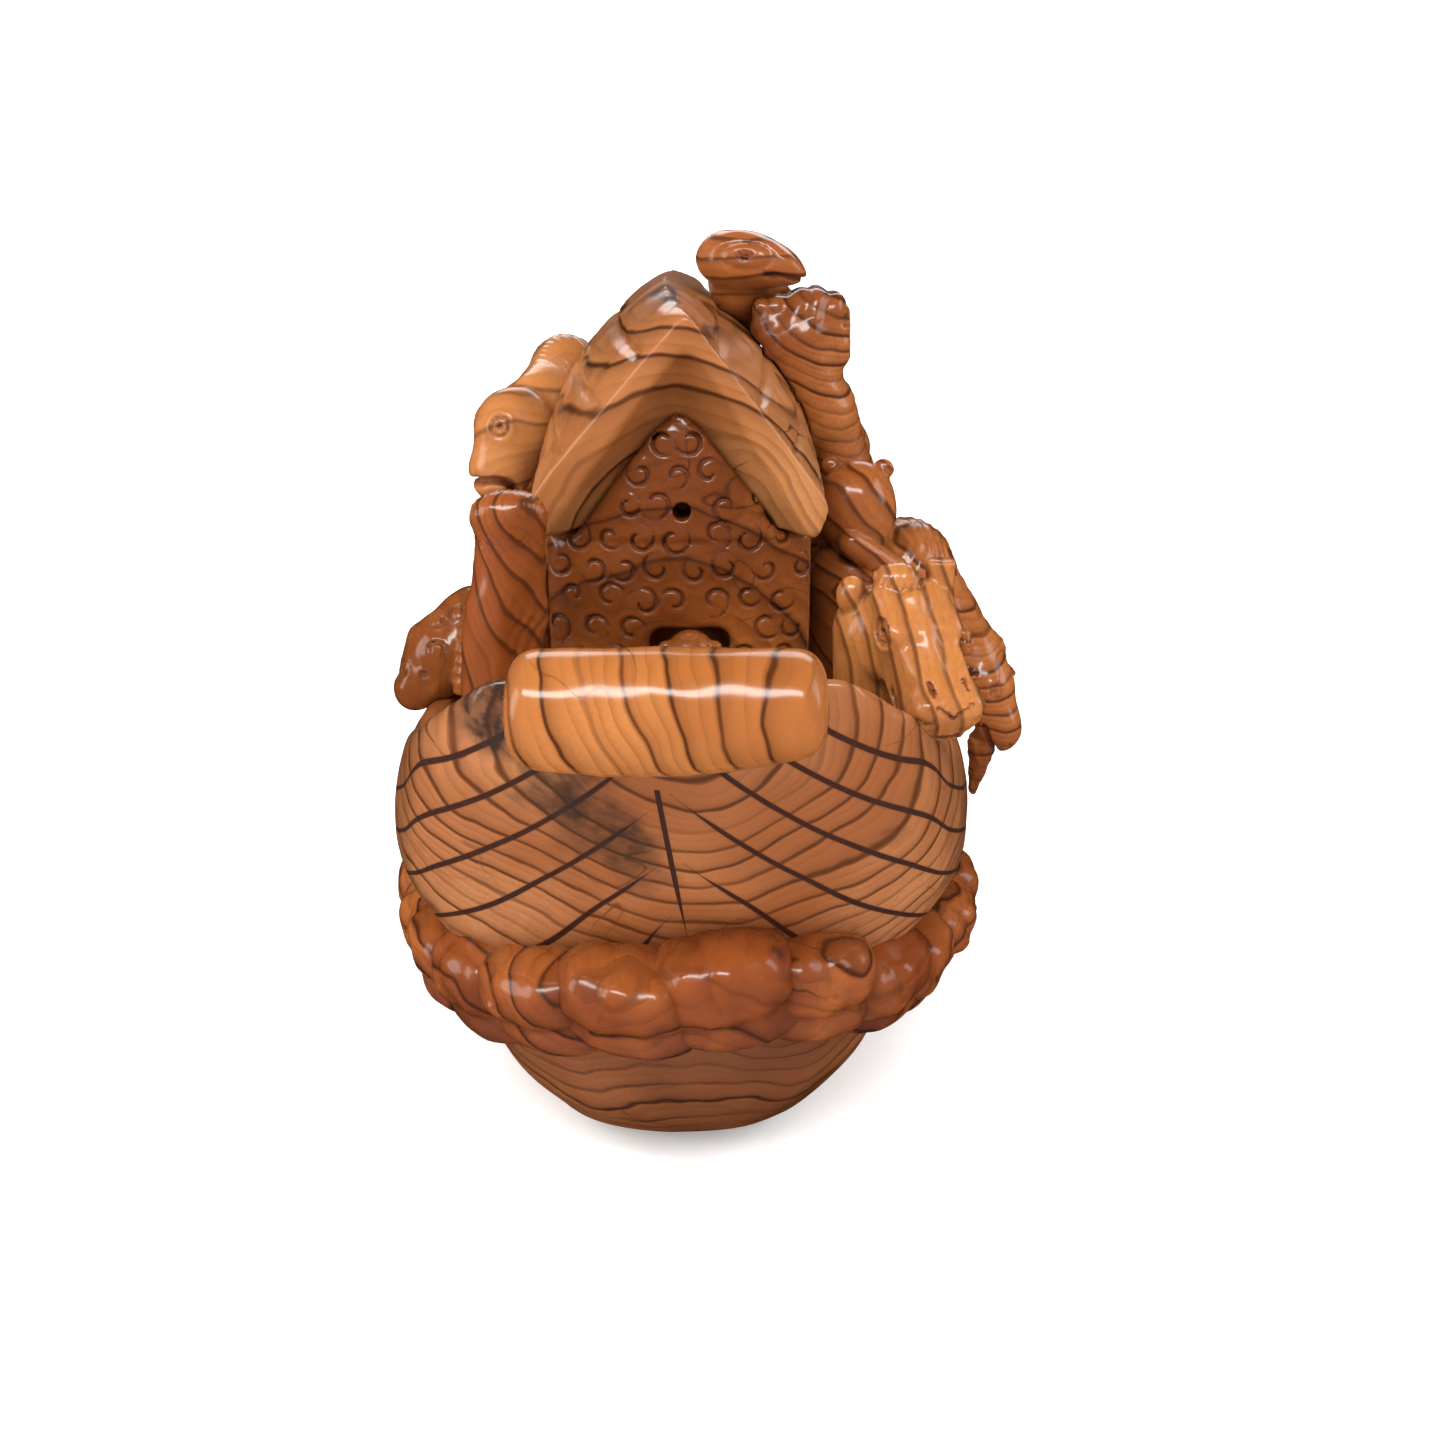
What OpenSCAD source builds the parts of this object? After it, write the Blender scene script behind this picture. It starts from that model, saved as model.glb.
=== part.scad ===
// Carved olive-wood ark with animals on its deck, resting on a ring of waves.
// The bow points along -Y and +Z is up. The origin is on the table, under the middle of the hull.
// Millimetres. Every piece is a solid of its own, pegged or glued to its neighbour.

/* [Hull] */
// Half length of the hull at its rim
hull_half_l = 82; // [76:1:92]
// Half width of the hull at its widest
hull_half_w = 44; // [38:1:53]
// Height of the rim amidships
rim_z = 54; // [52:1:65]
// How much higher the rim is at the stem than amidships
rim_sweep = 28; // [20:1:32]
// Thickness of the hull wall above the deck
hull_wall = 4; // [3:0.5:6]

/* [Base and waves] */
// Height of the flat joint between the base and the hull
joint_z = 30; // [25:1:33]
// Half width of the flat foot
foot_half_w = 23; // [18:1:28]
// Half length of the flat foot
foot_half_l = 47; // [40:1:54]
// Radius of one wave lobe
lobe_r = 8.4; // [7:0.2:9]
// Number of lobes along each side
side_lobes = 9; // [7:1:10]
// Number of lobes around each end
end_lobes = 4; // [3:1:5]

/* [Stem rolls] */
// Radius of the roll at the head of each stem
roll_r = 7; // [6:0.5:8]
// Half length of a roll
roll_half_l = 17; // [14:0.5:20]

/* [Deck] */
// Thickness of the deck board
deck_t = 5; // [4:0.5:6]
// Height of the deck's upper face
deck_top = 50; // [48:0.5:52]
// Radius of the peg under each carving
peg_r = 2.6; // [2:0.1:3.2]
// Gap left for glue around a peg, a roll or the deck
glue_gap = 0.1; // [0.05:0.05:0.2]

/* [Cabin and roof] */
// Half width of the cabin
cabin_half_w = 15; // [13:0.5:17]
// Half length of the cabin
cabin_half_l = 29; // [26:0.5:31]
// Half length of the roof, with its overhang
roof_half_l = 42; // [39:1:46]
// Height of the cabin walls above the deck
wall_h = 38; // [36:0.5:46]
// Height of the ridge above the top of the walls
roof_h = 31; // [28:0.5:33]
// Half width of the roof at its eaves
eave_half_w = 20; // [19:0.5:24]
// Depth of the cut edge along the eaves
eave_edge = 4; // [3:0.5:5]
// Width of the rim left around the hollow in each gable
gable_rim = 3; // [2:0.5:4]

/* [Stick hole] */
// Radius of the drilled hole for an incense stick
stick_r = 1.2; // [1:0.1:1.6]
// Depth of that hole
stick_depth = 7; // [5:0.5:8]
// Height of that hole above the deck
stick_up = 41; // [39:0.5:43]

/* [Hidden] */
$fn = 40;

fresh_wood = [0.80, 0.50, 0.26];
warm_wood = [0.72, 0.40, 0.19];
dark_wood = [0.55, 0.27, 0.12];

deck_z = deck_top - deck_t;
keel_z = 24;
stem_end = hull_half_l - 6;
rake_start = 50;
bilge_share = 0.62;
bilge_power = 2.5;
sharp_from = 38;
sharp_share = 0.24;
sharp_power = 1.15;
rim_tuck = 0.07;
stations = 24;
section_steps = 9;
roll_y = stem_end + 4;
roll_z = rim_z + rim_sweep - 4;
wave_half_w = hull_half_w - 5.5;
wave_half_l = hull_half_l - 15;
wave_z = 25;
wave_sweep = 12;
waist_out = 8;
big = 400;

// ---- curves of the hull -------------------------------------------------

// Height of the rim at a station along the hull
function rim_at(y) = rim_z + rim_sweep * pow(abs(y) / stem_end, 2.2);
// Height of the keel at a station: level, then raked up to the stem
function keel_at(y) = abs(y) < rake_start ? keel_z
    : keel_z + (roll_z - 10 - keel_z) * pow((abs(y) - rake_start) / (stem_end - rake_start), 1.5);
// Half width at a station
function beam_at(y) = hull_half_w * sqrt(1 - pow(abs(y) / hull_half_l, 2.4));
// Sections grow sharper towards the stems: 0 amidships, 1 at a stem
function sharpness(y) = pow(max(0, (abs(y) - sharp_from) / (stem_end - sharp_from)), 1.3);
// Share of the half width at a share s of the height, from the keel to the rim
function fullness(s, y) = let (share = bilge_share + sharp_share * sharpness(y),
    power = bilge_power - sharp_power * sharpness(y)) s < share
        ? pow(1 - pow(1 - s / share, power), 1 / power)
        : 1 - rim_tuck * pow((s - share) / (1 - share), 2);
// Point of the section at station y, at share s, on side -1 or 1
function skin_point(y, s, side) =
    [side * beam_at(y) * fullness(s, y), y, keel_at(y) + (rim_at(y) - keel_at(y)) * s];
// One section from the port rim round the keel to the starboard rim
function section(y) = concat(
    [for (i = [section_steps:-1:0]) skin_point(y, i / section_steps, -1)],
    [for (i = [1:section_steps]) skin_point(y, i / section_steps, 1)]);
ring_count = 2 * section_steps + 1;
function station_y(i) = stem_end * sin(-90 + 180 * i / stations);

module hull_block() {
    points = [for (i = [0:stations]) each section(station_y(i))];
    skin = [for (i = [0:stations - 1]) for (j = [0:ring_count - 1])
        let (k = (j + 1) % ring_count)
        [i * ring_count + j, i * ring_count + k, (i + 1) * ring_count + k, (i + 1) * ring_count + j]];
    bow_cap = [[for (j = [ring_count - 1:-1:0]) j]];
    stern_cap = [[for (j = [0:ring_count - 1]) stations * ring_count + j]];
    polyhedron(points, concat(skin, bow_cap, stern_cap), convexity = 6);
}

// Plan outline inside the rim, cut off square at a half length
deck_half_l = stem_end - 17;
well_half_l = stem_end - 9;
well_step = 8;
function well_outline(half_l, inset) = let (n = 16)
    [for (side = [-1, 1]) for (i = [0:n])
        let (y = side * (half_l - inset) * cos(180 * i / n))
        [-side * ((1 - rim_tuck) * beam_at(y) - hull_wall - inset), y]];

// ---- base, hull, deck ---------------------------------------------------

// Oval disc, a little blunter than an ellipse
oval_power = 2 / 2.6;
oval_steps = 56;
module oval(half_w, half_l, z, h) {
    translate([0, 0, z]) linear_extrude(h) polygon([for (i = [0:oval_steps - 1])
        let (c = cos(360 * i / oval_steps), s = sin(360 * i / oval_steps))
        [half_w * sign(c) * pow(abs(c), oval_power), half_l * sign(s) * pow(abs(s), oval_power)]]);
}

waist_z = joint_z - waist_out;
base_top_half_w = wave_half_w - 4;
base_top_half_l = wave_half_l - 4;

module base_block() {
    hull() {
        oval(foot_half_w, foot_half_l, 0, 0.1);
        oval(foot_half_w + 2, foot_half_l + 3, 2, 0.1);
        oval(base_top_half_w - 3, base_top_half_l - 4, waist_z / 2 + 2, 0.1);
        oval(base_top_half_w, base_top_half_l, waist_z, waist_out);
    }
}

module base() color(warm_wood) base_block();

module hull_body() color(warm_wood) difference() {
    hull_block();
    translate([-big / 2, -big / 2, joint_z - big]) cube(big);
    translate([0, 0, deck_z]) linear_extrude(big) polygon(well_outline(deck_half_l, 0));
    translate([0, 0, deck_top + well_step]) linear_extrude(big) polygon(well_outline(well_half_l, 0));
    for (end = [-1, 1]) translate([0, end * roll_y, roll_z]) rotate([0, 90, 0])
        cylinder(r = roll_r + glue_gap, h = big, center = true);
}

// ---- where the carvings stand -------------------------------------------

// Foot of each carving on the deck
sheep_foot = [-11, -cabin_half_l - 5];
lamb_foot = [1.5, -cabin_half_l - 9.2];
ox_foot = [26, -41];
horse_foot = [-23, -roof_half_l - 6];
camel_foot = [-28, 13];
giraffe_foot = [24, 34];
elephant_foot = [25.5, 4];
bear_foot = [25.5, -16];
port_ram_foot = [-29, 2];
starboard_ram_foot = [29, 20];
lion_foot = [-27, 27];
PEGS = [sheep_foot, -sheep_foot, lamb_foot, ox_foot, -ox_foot, horse_foot, -horse_foot, camel_foot,
    giraffe_foot, elephant_foot, bear_foot, port_ram_foot, starboard_ram_foot, lion_foot];

module deck() color(dark_wood) difference() {
    translate([0, 0, deck_z]) linear_extrude(deck_t) polygon(well_outline(deck_half_l, glue_gap));
    for (foot = PEGS) translate([foot.x, foot.y, deck_z - 1]) cylinder(r = peg_r + glue_gap, h = deck_t + 2);
}

// ---- waves --------------------------------------------------------------

// Plan angle at which the end runs of lobes meet the side runs
corner = 56;
// Centre of the lobe at angle t round the hull, 0 at the starboard side
function lobe_centre(t) = let (y = wave_half_l * sin(t))
    [wave_half_w * cos(t), y, wave_z + wave_sweep * pow(abs(y) / wave_half_l, 2.5)];
module lobes(from, to, count) color(fresh_wood) difference() {
    intersection() {
        union() for (i = [0:count - 1])
            translate(lobe_centre(from + (to - from) * (i + 0.5) / count)) sphere(lobe_r + (i % 2) * 0.5);
        translate([0, 0, -big / 2]) linear_extrude(big) polygon([[0, 0],
            3 * [lobe_centre(from).x, lobe_centre(from).y], 3 * [lobe_centre(to).x, lobe_centre(to).y]]);
    }
    base_block();
    hull_block();
}
module starboard_waves() lobes(-corner, corner, side_lobes);
module port_waves() lobes(180 - corner, 180 + corner, side_lobes);
module bow_waves() lobes(180 + corner, 360 - corner, end_lobes);
module stern_waves() rotate([0, 0, 180]) bow_waves();

// ---- rolls at the stem heads --------------------------------------------

roll_round = 3;
module roll(end) color(fresh_wood) translate([0, end * roll_y, roll_z]) rotate([0, 90, 0])
    rotate_extrude() polygon([[0, -roll_half_l], [roll_r - roll_round, -roll_half_l],
        [roll_r - roll_round / 3, -roll_half_l + roll_round / 3], [roll_r, -roll_half_l + roll_round],
        [roll_r, roll_half_l - roll_round], [roll_r - roll_round / 3, roll_half_l - roll_round / 3],
        [roll_r - roll_round, roll_half_l], [0, roll_half_l]]);
module bow_roll() roll(-1);
module stern_roll() roll(1);

// ---- cabin and roof -----------------------------------------------------

wall_top = deck_top + wall_h;
ridge_z = wall_top + roof_h;
eave_z = wall_top + eave_edge;
eave_in = 1.5;
hollow_depth = roof_half_l - cabin_half_l;
hollow_back_w = 11;
hollow_back_h = 17;

module cabin() color(dark_wood)
    translate([-cabin_half_w, -cabin_half_l, deck_top]) cube([2 * cabin_half_w, 2 * cabin_half_l, wall_h]);

// Gable-shaped slice of a hollow at station y
module hollow_slice(y, half_w, h) translate([0, y, wall_top - 1]) rotate([90, 0, 0])
    linear_extrude(0.1, center = true) polygon([[-half_w, 0], [half_w, 0], [0, h + 1]]);
// Hollow in the bow gable: wide at the rim, smaller where it meets the cabin
module gable_hollow() hull() {
    hollow_slice(-roof_half_l - 0.1, eave_half_w - eave_in - gable_rim, roof_h - 1.6 * gable_rim);
    hollow_slice(-roof_half_l + hollow_depth, hollow_back_w, hollow_back_h);
}

module roof() color(fresh_wood) difference() {
    translate([0, roof_half_l, 0]) rotate([90, 0, 0]) linear_extrude(2 * roof_half_l)
        polygon([[-eave_half_w + eave_in, wall_top], [eave_half_w - eave_in, wall_top],
            [eave_half_w, eave_z], [0, ridge_z], [-eave_half_w, eave_z]]);
    gable_hollow();
    rotate([0, 0, 180]) gable_hollow();
}

// ---- carvings -----------------------------------------------------------

// How far the carvings move with the roof, the rim and the side of the hull that they lean on.
// They are drawn for a roof 20 wide at the eaves and 69 above the deck, and a hull 44 wide and 54 high.
roof_out = eave_half_w - 20;
roof_up = wall_h + roof_h - 69;
side_out = hull_half_w - 44;
rim_up = rim_z - 54;

// Rounded body through points whose fourth number is the radius
limb_fill = 0.96;
module chain(points) {
    for (p = points) translate([p.x, p.y, p.z]) sphere(p[3]);
    for (i = [0:len(points) - 2]) {
        a = points[i];
        b = points[i + 1];
        d = [b.x - a.x, b.y - a.y, b.z - a.z];
        translate([a.x, a.y, a.z]) rotate([0, acos(d.z / norm(d)), atan2(d.y, d.x)])
            cylinder(r1 = limb_fill * a[3], r2 = limb_fill * b[3], h = norm(d));
    }
}
stand_fill = 0.9;
// Peg in the deck and round standing block above it
module stand(foot, r, h) translate([foot.x, foot.y, 0]) {
    translate([0, 0, deck_z + 0.5]) cylinder(r = peg_r, h = deck_t + 1);
    translate([0, 0, deck_top]) cylinder(r = stand_fill * r, h = h);
}

stick_x = 0.6;
mound_t = 10;
mound_half_w = 18.2;
mound_front = -cabin_half_l - mound_t;
niche_half_w = 5.8;
niche_h = 26;
niche_deep = 6;
roof_gap = 0.6;
// Woolly filling under a gable
module mound() difference() {
    translate([0, -cabin_half_l, deck_top]) rotate([90, 0, 0]) linear_extrude(mound_t)
        polygon([[-mound_half_w, 0], [mound_half_w, 0], [mound_half_w, wall_h - roof_gap],
            [hollow_back_w, wall_h - roof_gap],
            [hollow_back_w - 2 * roof_gap, wall_h], [1.5, wall_h + hollow_back_h - 4],
            [-1.5, wall_h + hollow_back_h - 4], [-hollow_back_w + 2 * roof_gap, wall_h],
            [-hollow_back_w, wall_h - roof_gap], [-mound_half_w, wall_h - roof_gap]]);
    translate([lamb_foot.x - niche_half_w, mound_front - 1, deck_top - 1])
        cube([2 * niche_half_w, niche_deep + 1, niche_h + 1]);
}
module mound_peg() translate([sheep_foot.x, sheep_foot.y, deck_z + 0.5]) cylinder(r = peg_r, h = deck_t + 1);

module sheep() color(fresh_wood) {
    difference() {
        mound();
        translate([stick_x, mound_front - 1, deck_top + stick_up]) rotate([-90, 0, 0])
            cylinder(r = stick_r, h = stick_depth + 1);
    }
    mound_peg();
}
module ewe() color(warm_wood) rotate([0, 0, 180]) {
    mound();
    mound_peg();
}
module lamb() color(warm_wood) {
    stand(lamb_foot, 3.6, 8);
    chain([[lamb_foot.x, lamb_foot.y, deck_top + 6, 3.4], [lamb_foot.x, lamb_foot.y, deck_top + 21, 3.8]]);
}

module ox_block() {
    f = ox_foot;
    top = deck_top + rim_up;
    stand(f, 4.6, 8 + rim_up);
    chain([[f.x, f.y, top + 6, 4.6], [f.x + 2.5, f.y - 2, top + 28.5, 7],
        [f.x + 5.3, f.y - 13, top + 23.6, 5.3]]);
    chain([[f.x + 1, f.y - 3, top + 32, 3], [f.x + 1.5, f.y - 3, top + 34.5, 2]]);
    chain([[f.x + 7, f.y - 2, top + 31, 2.2], [f.x + 8, f.y - 2, top + 35, 1.6]]);
}
module ox() color(warm_wood) ox_block();
module cow() color(fresh_wood) rotate([0, 0, 180]) ox_block();

module horse_block() {
    f = horse_foot;
    stand(f, 5.2, 10);
    chain([[f.x, f.y, deck_top + 8, 5.2], [f.x - 0.4, f.y, deck_top + 38.5, 5]]);
}
module horse() color(warm_wood) horse_block();
module mare() color(dark_wood) rotate([0, 0, 180]) horse_block();

module camel() color(warm_wood) {
    f = camel_foot;
    out = f.x - roof_out;
    top = deck_top + roof_up;
    stand(f, 4.8, 8);
    chain([[f.x, f.y, deck_top + 6, 4.8], [out - 1, f.y, deck_top + 30, 4.8],
        [out + 3, f.y - 5, top + 47, 4.6], [out + 11, f.y - 15, top + 56.3, 4.6],
        [out + 3.5, f.y - 27, top + 47, 5.8], [out + 1.5, f.y - 30, top + 41, 3.8]]);
}

module giraffe() color(fresh_wood) {
    f = giraffe_foot;
    out = f.x + roof_out;
    top = deck_top + roof_up;
    stand(f, 4.6, 8);
    chain([[f.x, f.y, deck_top + 6, 4.6], [out + 3, f.y - 2, top + 38, 4.4],
        [out - 9, f.y - 16, top + 61, 4.2], [out - 16, f.y - 33, top + 69.5, 4.4],
        [out - 13, f.y - 34, top + 70.2, 5], [out - 8.2, f.y - 36, top + 69.6, 3.3]]);
}

module elephant() color(dark_wood) {
    f = elephant_foot;
    out = f.x + roof_out;
    top = deck_top + roof_up;
    stand(f, 4.3, 8);
    chain([[f.x, f.y, deck_top + 6, 4.3], [out + 0.5, f.y - 1, top + 40, 4.3],
        [out - 5.5, f.y - 2, top + 60.5, 6.4], [out - 11.5, f.y - 3, top + 61.5, 4.2]]);
}

module bear() color(warm_wood) {
    f = bear_foot;
    out = f.x + roof_out;
    stand(f, 5, 8);
    chain([[f.x, f.y, deck_top + 6, 5], [out, f.y, deck_top + 25, 6.8], [out, f.y, deck_top + 36.5, 5.8]]);
}

module port_ram() color(dark_wood) {
    f = port_ram_foot;
    out = f.x - side_out;
    top = deck_top + rim_up;
    stand(f, 4.5, 6 + rim_up);
    chain([[f.x, f.y, top + 5, 4.5], [f.x - 5, f.y - 2, top + 13, 6.3],
        [out - 10.5, f.y - 5, top + 10.8, 5.6], [out - 14.3, f.y - 8, top + 7.8, 3.2]]);
}

module starboard_ram() color(warm_wood) {
    f = starboard_ram_foot;
    out = f.x + side_out;
    top = deck_top + rim_up;
    stand(f, 5, 5 + rim_up);
    chain([[f.x, f.y, top + 5, 5], [f.x + 4, f.y, top + 19.5, 8.3],
        [out + 17, f.y - 18, top + 9.8, 5.8], [out + 21.5, f.y - 21, top + 1.8, 4.4],
        [out + 20, f.y - 20.5, top - 6, 2.8], [out + 19.2, f.y - 20, top - 16, 1.2]]);
}

module lion() color(fresh_wood) {
    f = lion_foot;
    top = deck_top + rim_up;
    stand(f, 5, 8 + rim_up);
    chain([[f.x, f.y, top + 6, 5], [f.x - 3, f.y - 1, top + 16, 7],
        [f.x - 8, f.y - 2, top + 14, 4.6]]);
}

base();
hull_body();  // hull
deck();
bow_waves();
stern_waves();
port_waves();
starboard_waves();
bow_roll();
stern_roll();
cabin();
roof();
sheep();
ewe();
lamb();
ox();
cow();
horse();
mare();
camel();
giraffe();
elephant();
bear();
port_ram();
starboard_ram();
lion();
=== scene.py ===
import math

import bpy
import numpy as np
from mathutils import Euler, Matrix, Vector


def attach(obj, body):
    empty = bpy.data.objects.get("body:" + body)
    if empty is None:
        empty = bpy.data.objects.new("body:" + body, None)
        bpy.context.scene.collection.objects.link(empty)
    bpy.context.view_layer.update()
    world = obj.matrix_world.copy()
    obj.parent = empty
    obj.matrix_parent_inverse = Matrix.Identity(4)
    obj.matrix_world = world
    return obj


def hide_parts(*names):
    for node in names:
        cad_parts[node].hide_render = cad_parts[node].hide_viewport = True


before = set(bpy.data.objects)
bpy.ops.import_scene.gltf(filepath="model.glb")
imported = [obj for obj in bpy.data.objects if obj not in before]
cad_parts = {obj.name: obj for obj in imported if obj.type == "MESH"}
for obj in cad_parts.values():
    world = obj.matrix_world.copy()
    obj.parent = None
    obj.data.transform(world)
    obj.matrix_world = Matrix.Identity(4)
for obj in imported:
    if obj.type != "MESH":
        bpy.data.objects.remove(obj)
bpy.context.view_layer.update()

MM = 0.001


# ---- Camera, light and floor ------------------------------------------------------------------
# The ark is seen from over its bow, close up, so that its stern falls away quickly.
# A long softbox over the bow, one at each side and one behind give lacquer its soft highlights.
LENS_MM = 36.07
CAMERA_AT = (5.94, -226.04, 129.96)
CAMERA_PITCH = 20
ROOM_LIGHT = 0.10

camera_data = bpy.data.cameras.new("camera")
camera_data.lens = LENS_MM
camera_data.sensor_width = 36.0
camera_data.clip_start = 0.01
camera = bpy.data.objects.new("camera", camera_data)
camera.location = Vector(CAMERA_AT) * MM
camera.rotation_euler = Euler((math.radians(90 - CAMERA_PITCH), 0.0, 0.0))
bpy.context.collection.objects.link(camera)
bpy.context.scene.camera = camera
bpy.context.scene.view_settings.view_transform = "Standard"


def softbox(name, at, aim, wide, high, watts, tint):
    data = bpy.data.lights.new(name, "AREA")
    data.shape = "RECTANGLE"
    data.size, data.size_y = wide * MM, high * MM
    data.energy = watts
    data.color = tint
    lamp = bpy.data.objects.new(name, data)
    lamp.location = Vector(at) * MM
    lamp.rotation_euler = (Vector(aim) - Vector(at)).to_track_quat("-Z", "Y").to_euler()
    bpy.context.collection.objects.link(lamp)


softbox("bow_softbox", (-70, -300, 430), (0, -40, 60), 420, 90, 2.1, (1.0, 0.985, 0.96))
softbox("port_softbox", (-420, -160, 240), (0, 0, 60), 200, 320, 0.8, (1.0, 0.98, 0.95))
softbox("starboard_softbox", (430, -60, 300), (0, 0, 60), 200, 320, 0.6, (0.97, 0.985, 1.0))
softbox("stern_softbox", (0, 420, 380), (0, 0, 60), 500, 200, 0.8, (1.0, 1.0, 1.0))

world = bpy.data.worlds.new("studio")
bpy.context.scene.world = world
world.use_nodes = True
room = world.node_tree.nodes["Background"]
room.inputs["Color"].default_value = (1.0, 1.0, 1.0, 1.0)
room.inputs["Strength"].default_value = ROOM_LIGHT
world.cycles_visibility.glossy = False

# One sheet of pale paper, flat under the ark and curling up all round far outside it, in metres.
PAPER_STEPS = 64
PAPER_FLAT, PAPER_CURL, PAPER_TOP = 0.9, 0.9, 3.0
GLOW_FROM, GLOW_FULL = 0.25, 1.6
GLOW_NEAR, GLOW_FAR = 0.12, 0.7
profile = [(0.0, 0.0), (PAPER_FLAT, 0.0)]
profile += [(PAPER_FLAT + PAPER_CURL * math.sin(a), PAPER_CURL - PAPER_CURL * math.cos(a))
            for a in np.linspace(0.12, 1.57, 12)]
profile += [(PAPER_FLAT + PAPER_CURL, PAPER_TOP)]
paper_points = [(0.0, 0.0, 0.0)]
paper_faces = []
for reach, up in profile[1:]:
    for i in range(PAPER_STEPS):
        turn = 2 * math.pi * i / PAPER_STEPS
        paper_points.append((reach * math.cos(turn), reach * math.sin(turn), up))
for i in range(PAPER_STEPS):
    j = (i + 1) % PAPER_STEPS
    paper_faces.append((0, 1 + i, 1 + j))
    for band in range(len(profile) - 2):
        a, b = 1 + band * PAPER_STEPS, 1 + (band + 1) * PAPER_STEPS
        paper_faces.append((a + i, b + i, b + j, a + j))
floor_mesh = bpy.data.meshes.new("floor")
floor_mesh.from_pydata(paper_points, [], paper_faces)
floor_mesh.shade_smooth()
floor = bpy.data.objects.new("floor", floor_mesh)
bpy.context.collection.objects.link(floor)
paper = bpy.data.materials.new("pale_paper")
paper.use_nodes = True
paper_tree = paper.node_tree
paper_face = paper_tree.nodes["Principled BSDF"].inputs
paper_face["Base Color"].default_value = (0.93, 0.93, 0.93, 1)
paper_face["Roughness"].default_value = 0.8
paper_face["Specular IOR Level"].default_value = 0.1
paper_face["Emission Color"].default_value = (1, 1, 1, 1)
paper_place = paper_tree.nodes.new("ShaderNodeTexCoord")
paper_far = paper_tree.nodes.new("ShaderNodeVectorMath")
paper_far.operation = "LENGTH"
paper_glow = paper_tree.nodes.new("ShaderNodeMapRange")
for socket_name, amount in (("From Min", GLOW_FROM), ("From Max", GLOW_FULL),
                            ("To Min", GLOW_NEAR), ("To Max", GLOW_FAR)):
    paper_glow.inputs[socket_name].default_value = amount
paper_tree.links.new(paper_place.outputs["Object"], paper_far.inputs[0])
paper_tree.links.new(paper_far.outputs["Value"], paper_glow.inputs["Value"])
paper_tree.links.new(paper_glow.outputs[0], paper_face["Emission Strength"])
floor_mesh.materials.append(paper)
# The paper is left out of reflections, as black cards round the work would keep it out of the lacquer.
floor.visible_glossy = False


# ---- Hull -------------------------------------------------------------------------------------
# One block of olive wood, carved to a crescent with a hollow deck well and a knot near the bow.
# The lines between planks belong to the finish, and every face is sealed with clear gloss lacquer.
HALF_LENGTH, HALF_WIDTH = 82.0, 44.0
STEM_END = 76.0
RIM_Z, RIM_SWEEP = 54.0, 28.0
KEEL_Z, RAKE_FROM = 24.0, 50.0
BILGE, BILGE_POWER, RIM_TUCK = 0.62, 2.5, 0.07
STEM_BILGE, STEM_POWER = 0.86, 1.35
JOINT_Z = 30.0
ROLL_Y, ROLL_Z, ROLL_R = 80.0, 78.0, 7.0
WALL = 4.0
DECK_UNDER = 45.0
WELL_STEP, WELL_LOW, WELL_HIGH = 58.0, 59.0, 67.0


def length3(x, y, z):
    return np.sqrt(x * x + y * y + z * z)


def smooth_min(a, b, k):
    h = np.clip(0.5 + 0.5 * (b - a) / k, 0.0, 1.0)
    return b + (a - b) * h - k * h * (1.0 - h)


def smooth_max(a, b, k):
    return -smooth_min(-a, -b, k)


def egg(p, centre, radii):
    """Ellipsoid with its axes along the frame of p."""
    x, y, z = (p[i] - centre[i] for i in range(3))
    near = length3(x / radii[0], y / radii[1], z / radii[2])
    steep = length3(x / radii[0] ** 2, y / radii[1] ** 2, z / radii[2] ** 2)
    return near * (near - 1.0) / np.maximum(steep, 1e-6)


def taper(p, a, b, ra, rb):
    """Round rod from a to b whose radius runs from ra to rb."""
    a, b = np.array(a, float), np.array(b, float)
    d = b - a
    x, y, z = (p[i] - a[i] for i in range(3))
    t = np.clip((x * d[0] + y * d[1] + z * d[2]) / d.dot(d), 0.0, 1.0)
    return length3(x - d[0] * t, y - d[1] * t, z - d[2] * t) - (ra + (rb - ra) * t)


def slab(p, centre, half):
    """Box with its sides along the frame of p."""
    q = [np.abs(p[i] - centre[i]) - half[i] for i in range(3)]
    outside = length3(*(np.maximum(v, 0.0) for v in q))
    return outside + np.minimum(np.maximum(q[0], np.maximum(q[1], q[2])), 0.0)


def gouge_marks(p, size, seed):
    """Low waves left by a hand gouge."""
    x, y, z = (v * (6.283 / size) for v in p)
    return (np.sin(x + seed + np.sin(y * 0.7 + seed)) * np.sin(y * 1.1 + 2.0 * seed + np.sin(z * 0.6))
            * np.sin(z * 0.9 + 3.0 * seed + np.sin(x * 0.8)))


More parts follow.
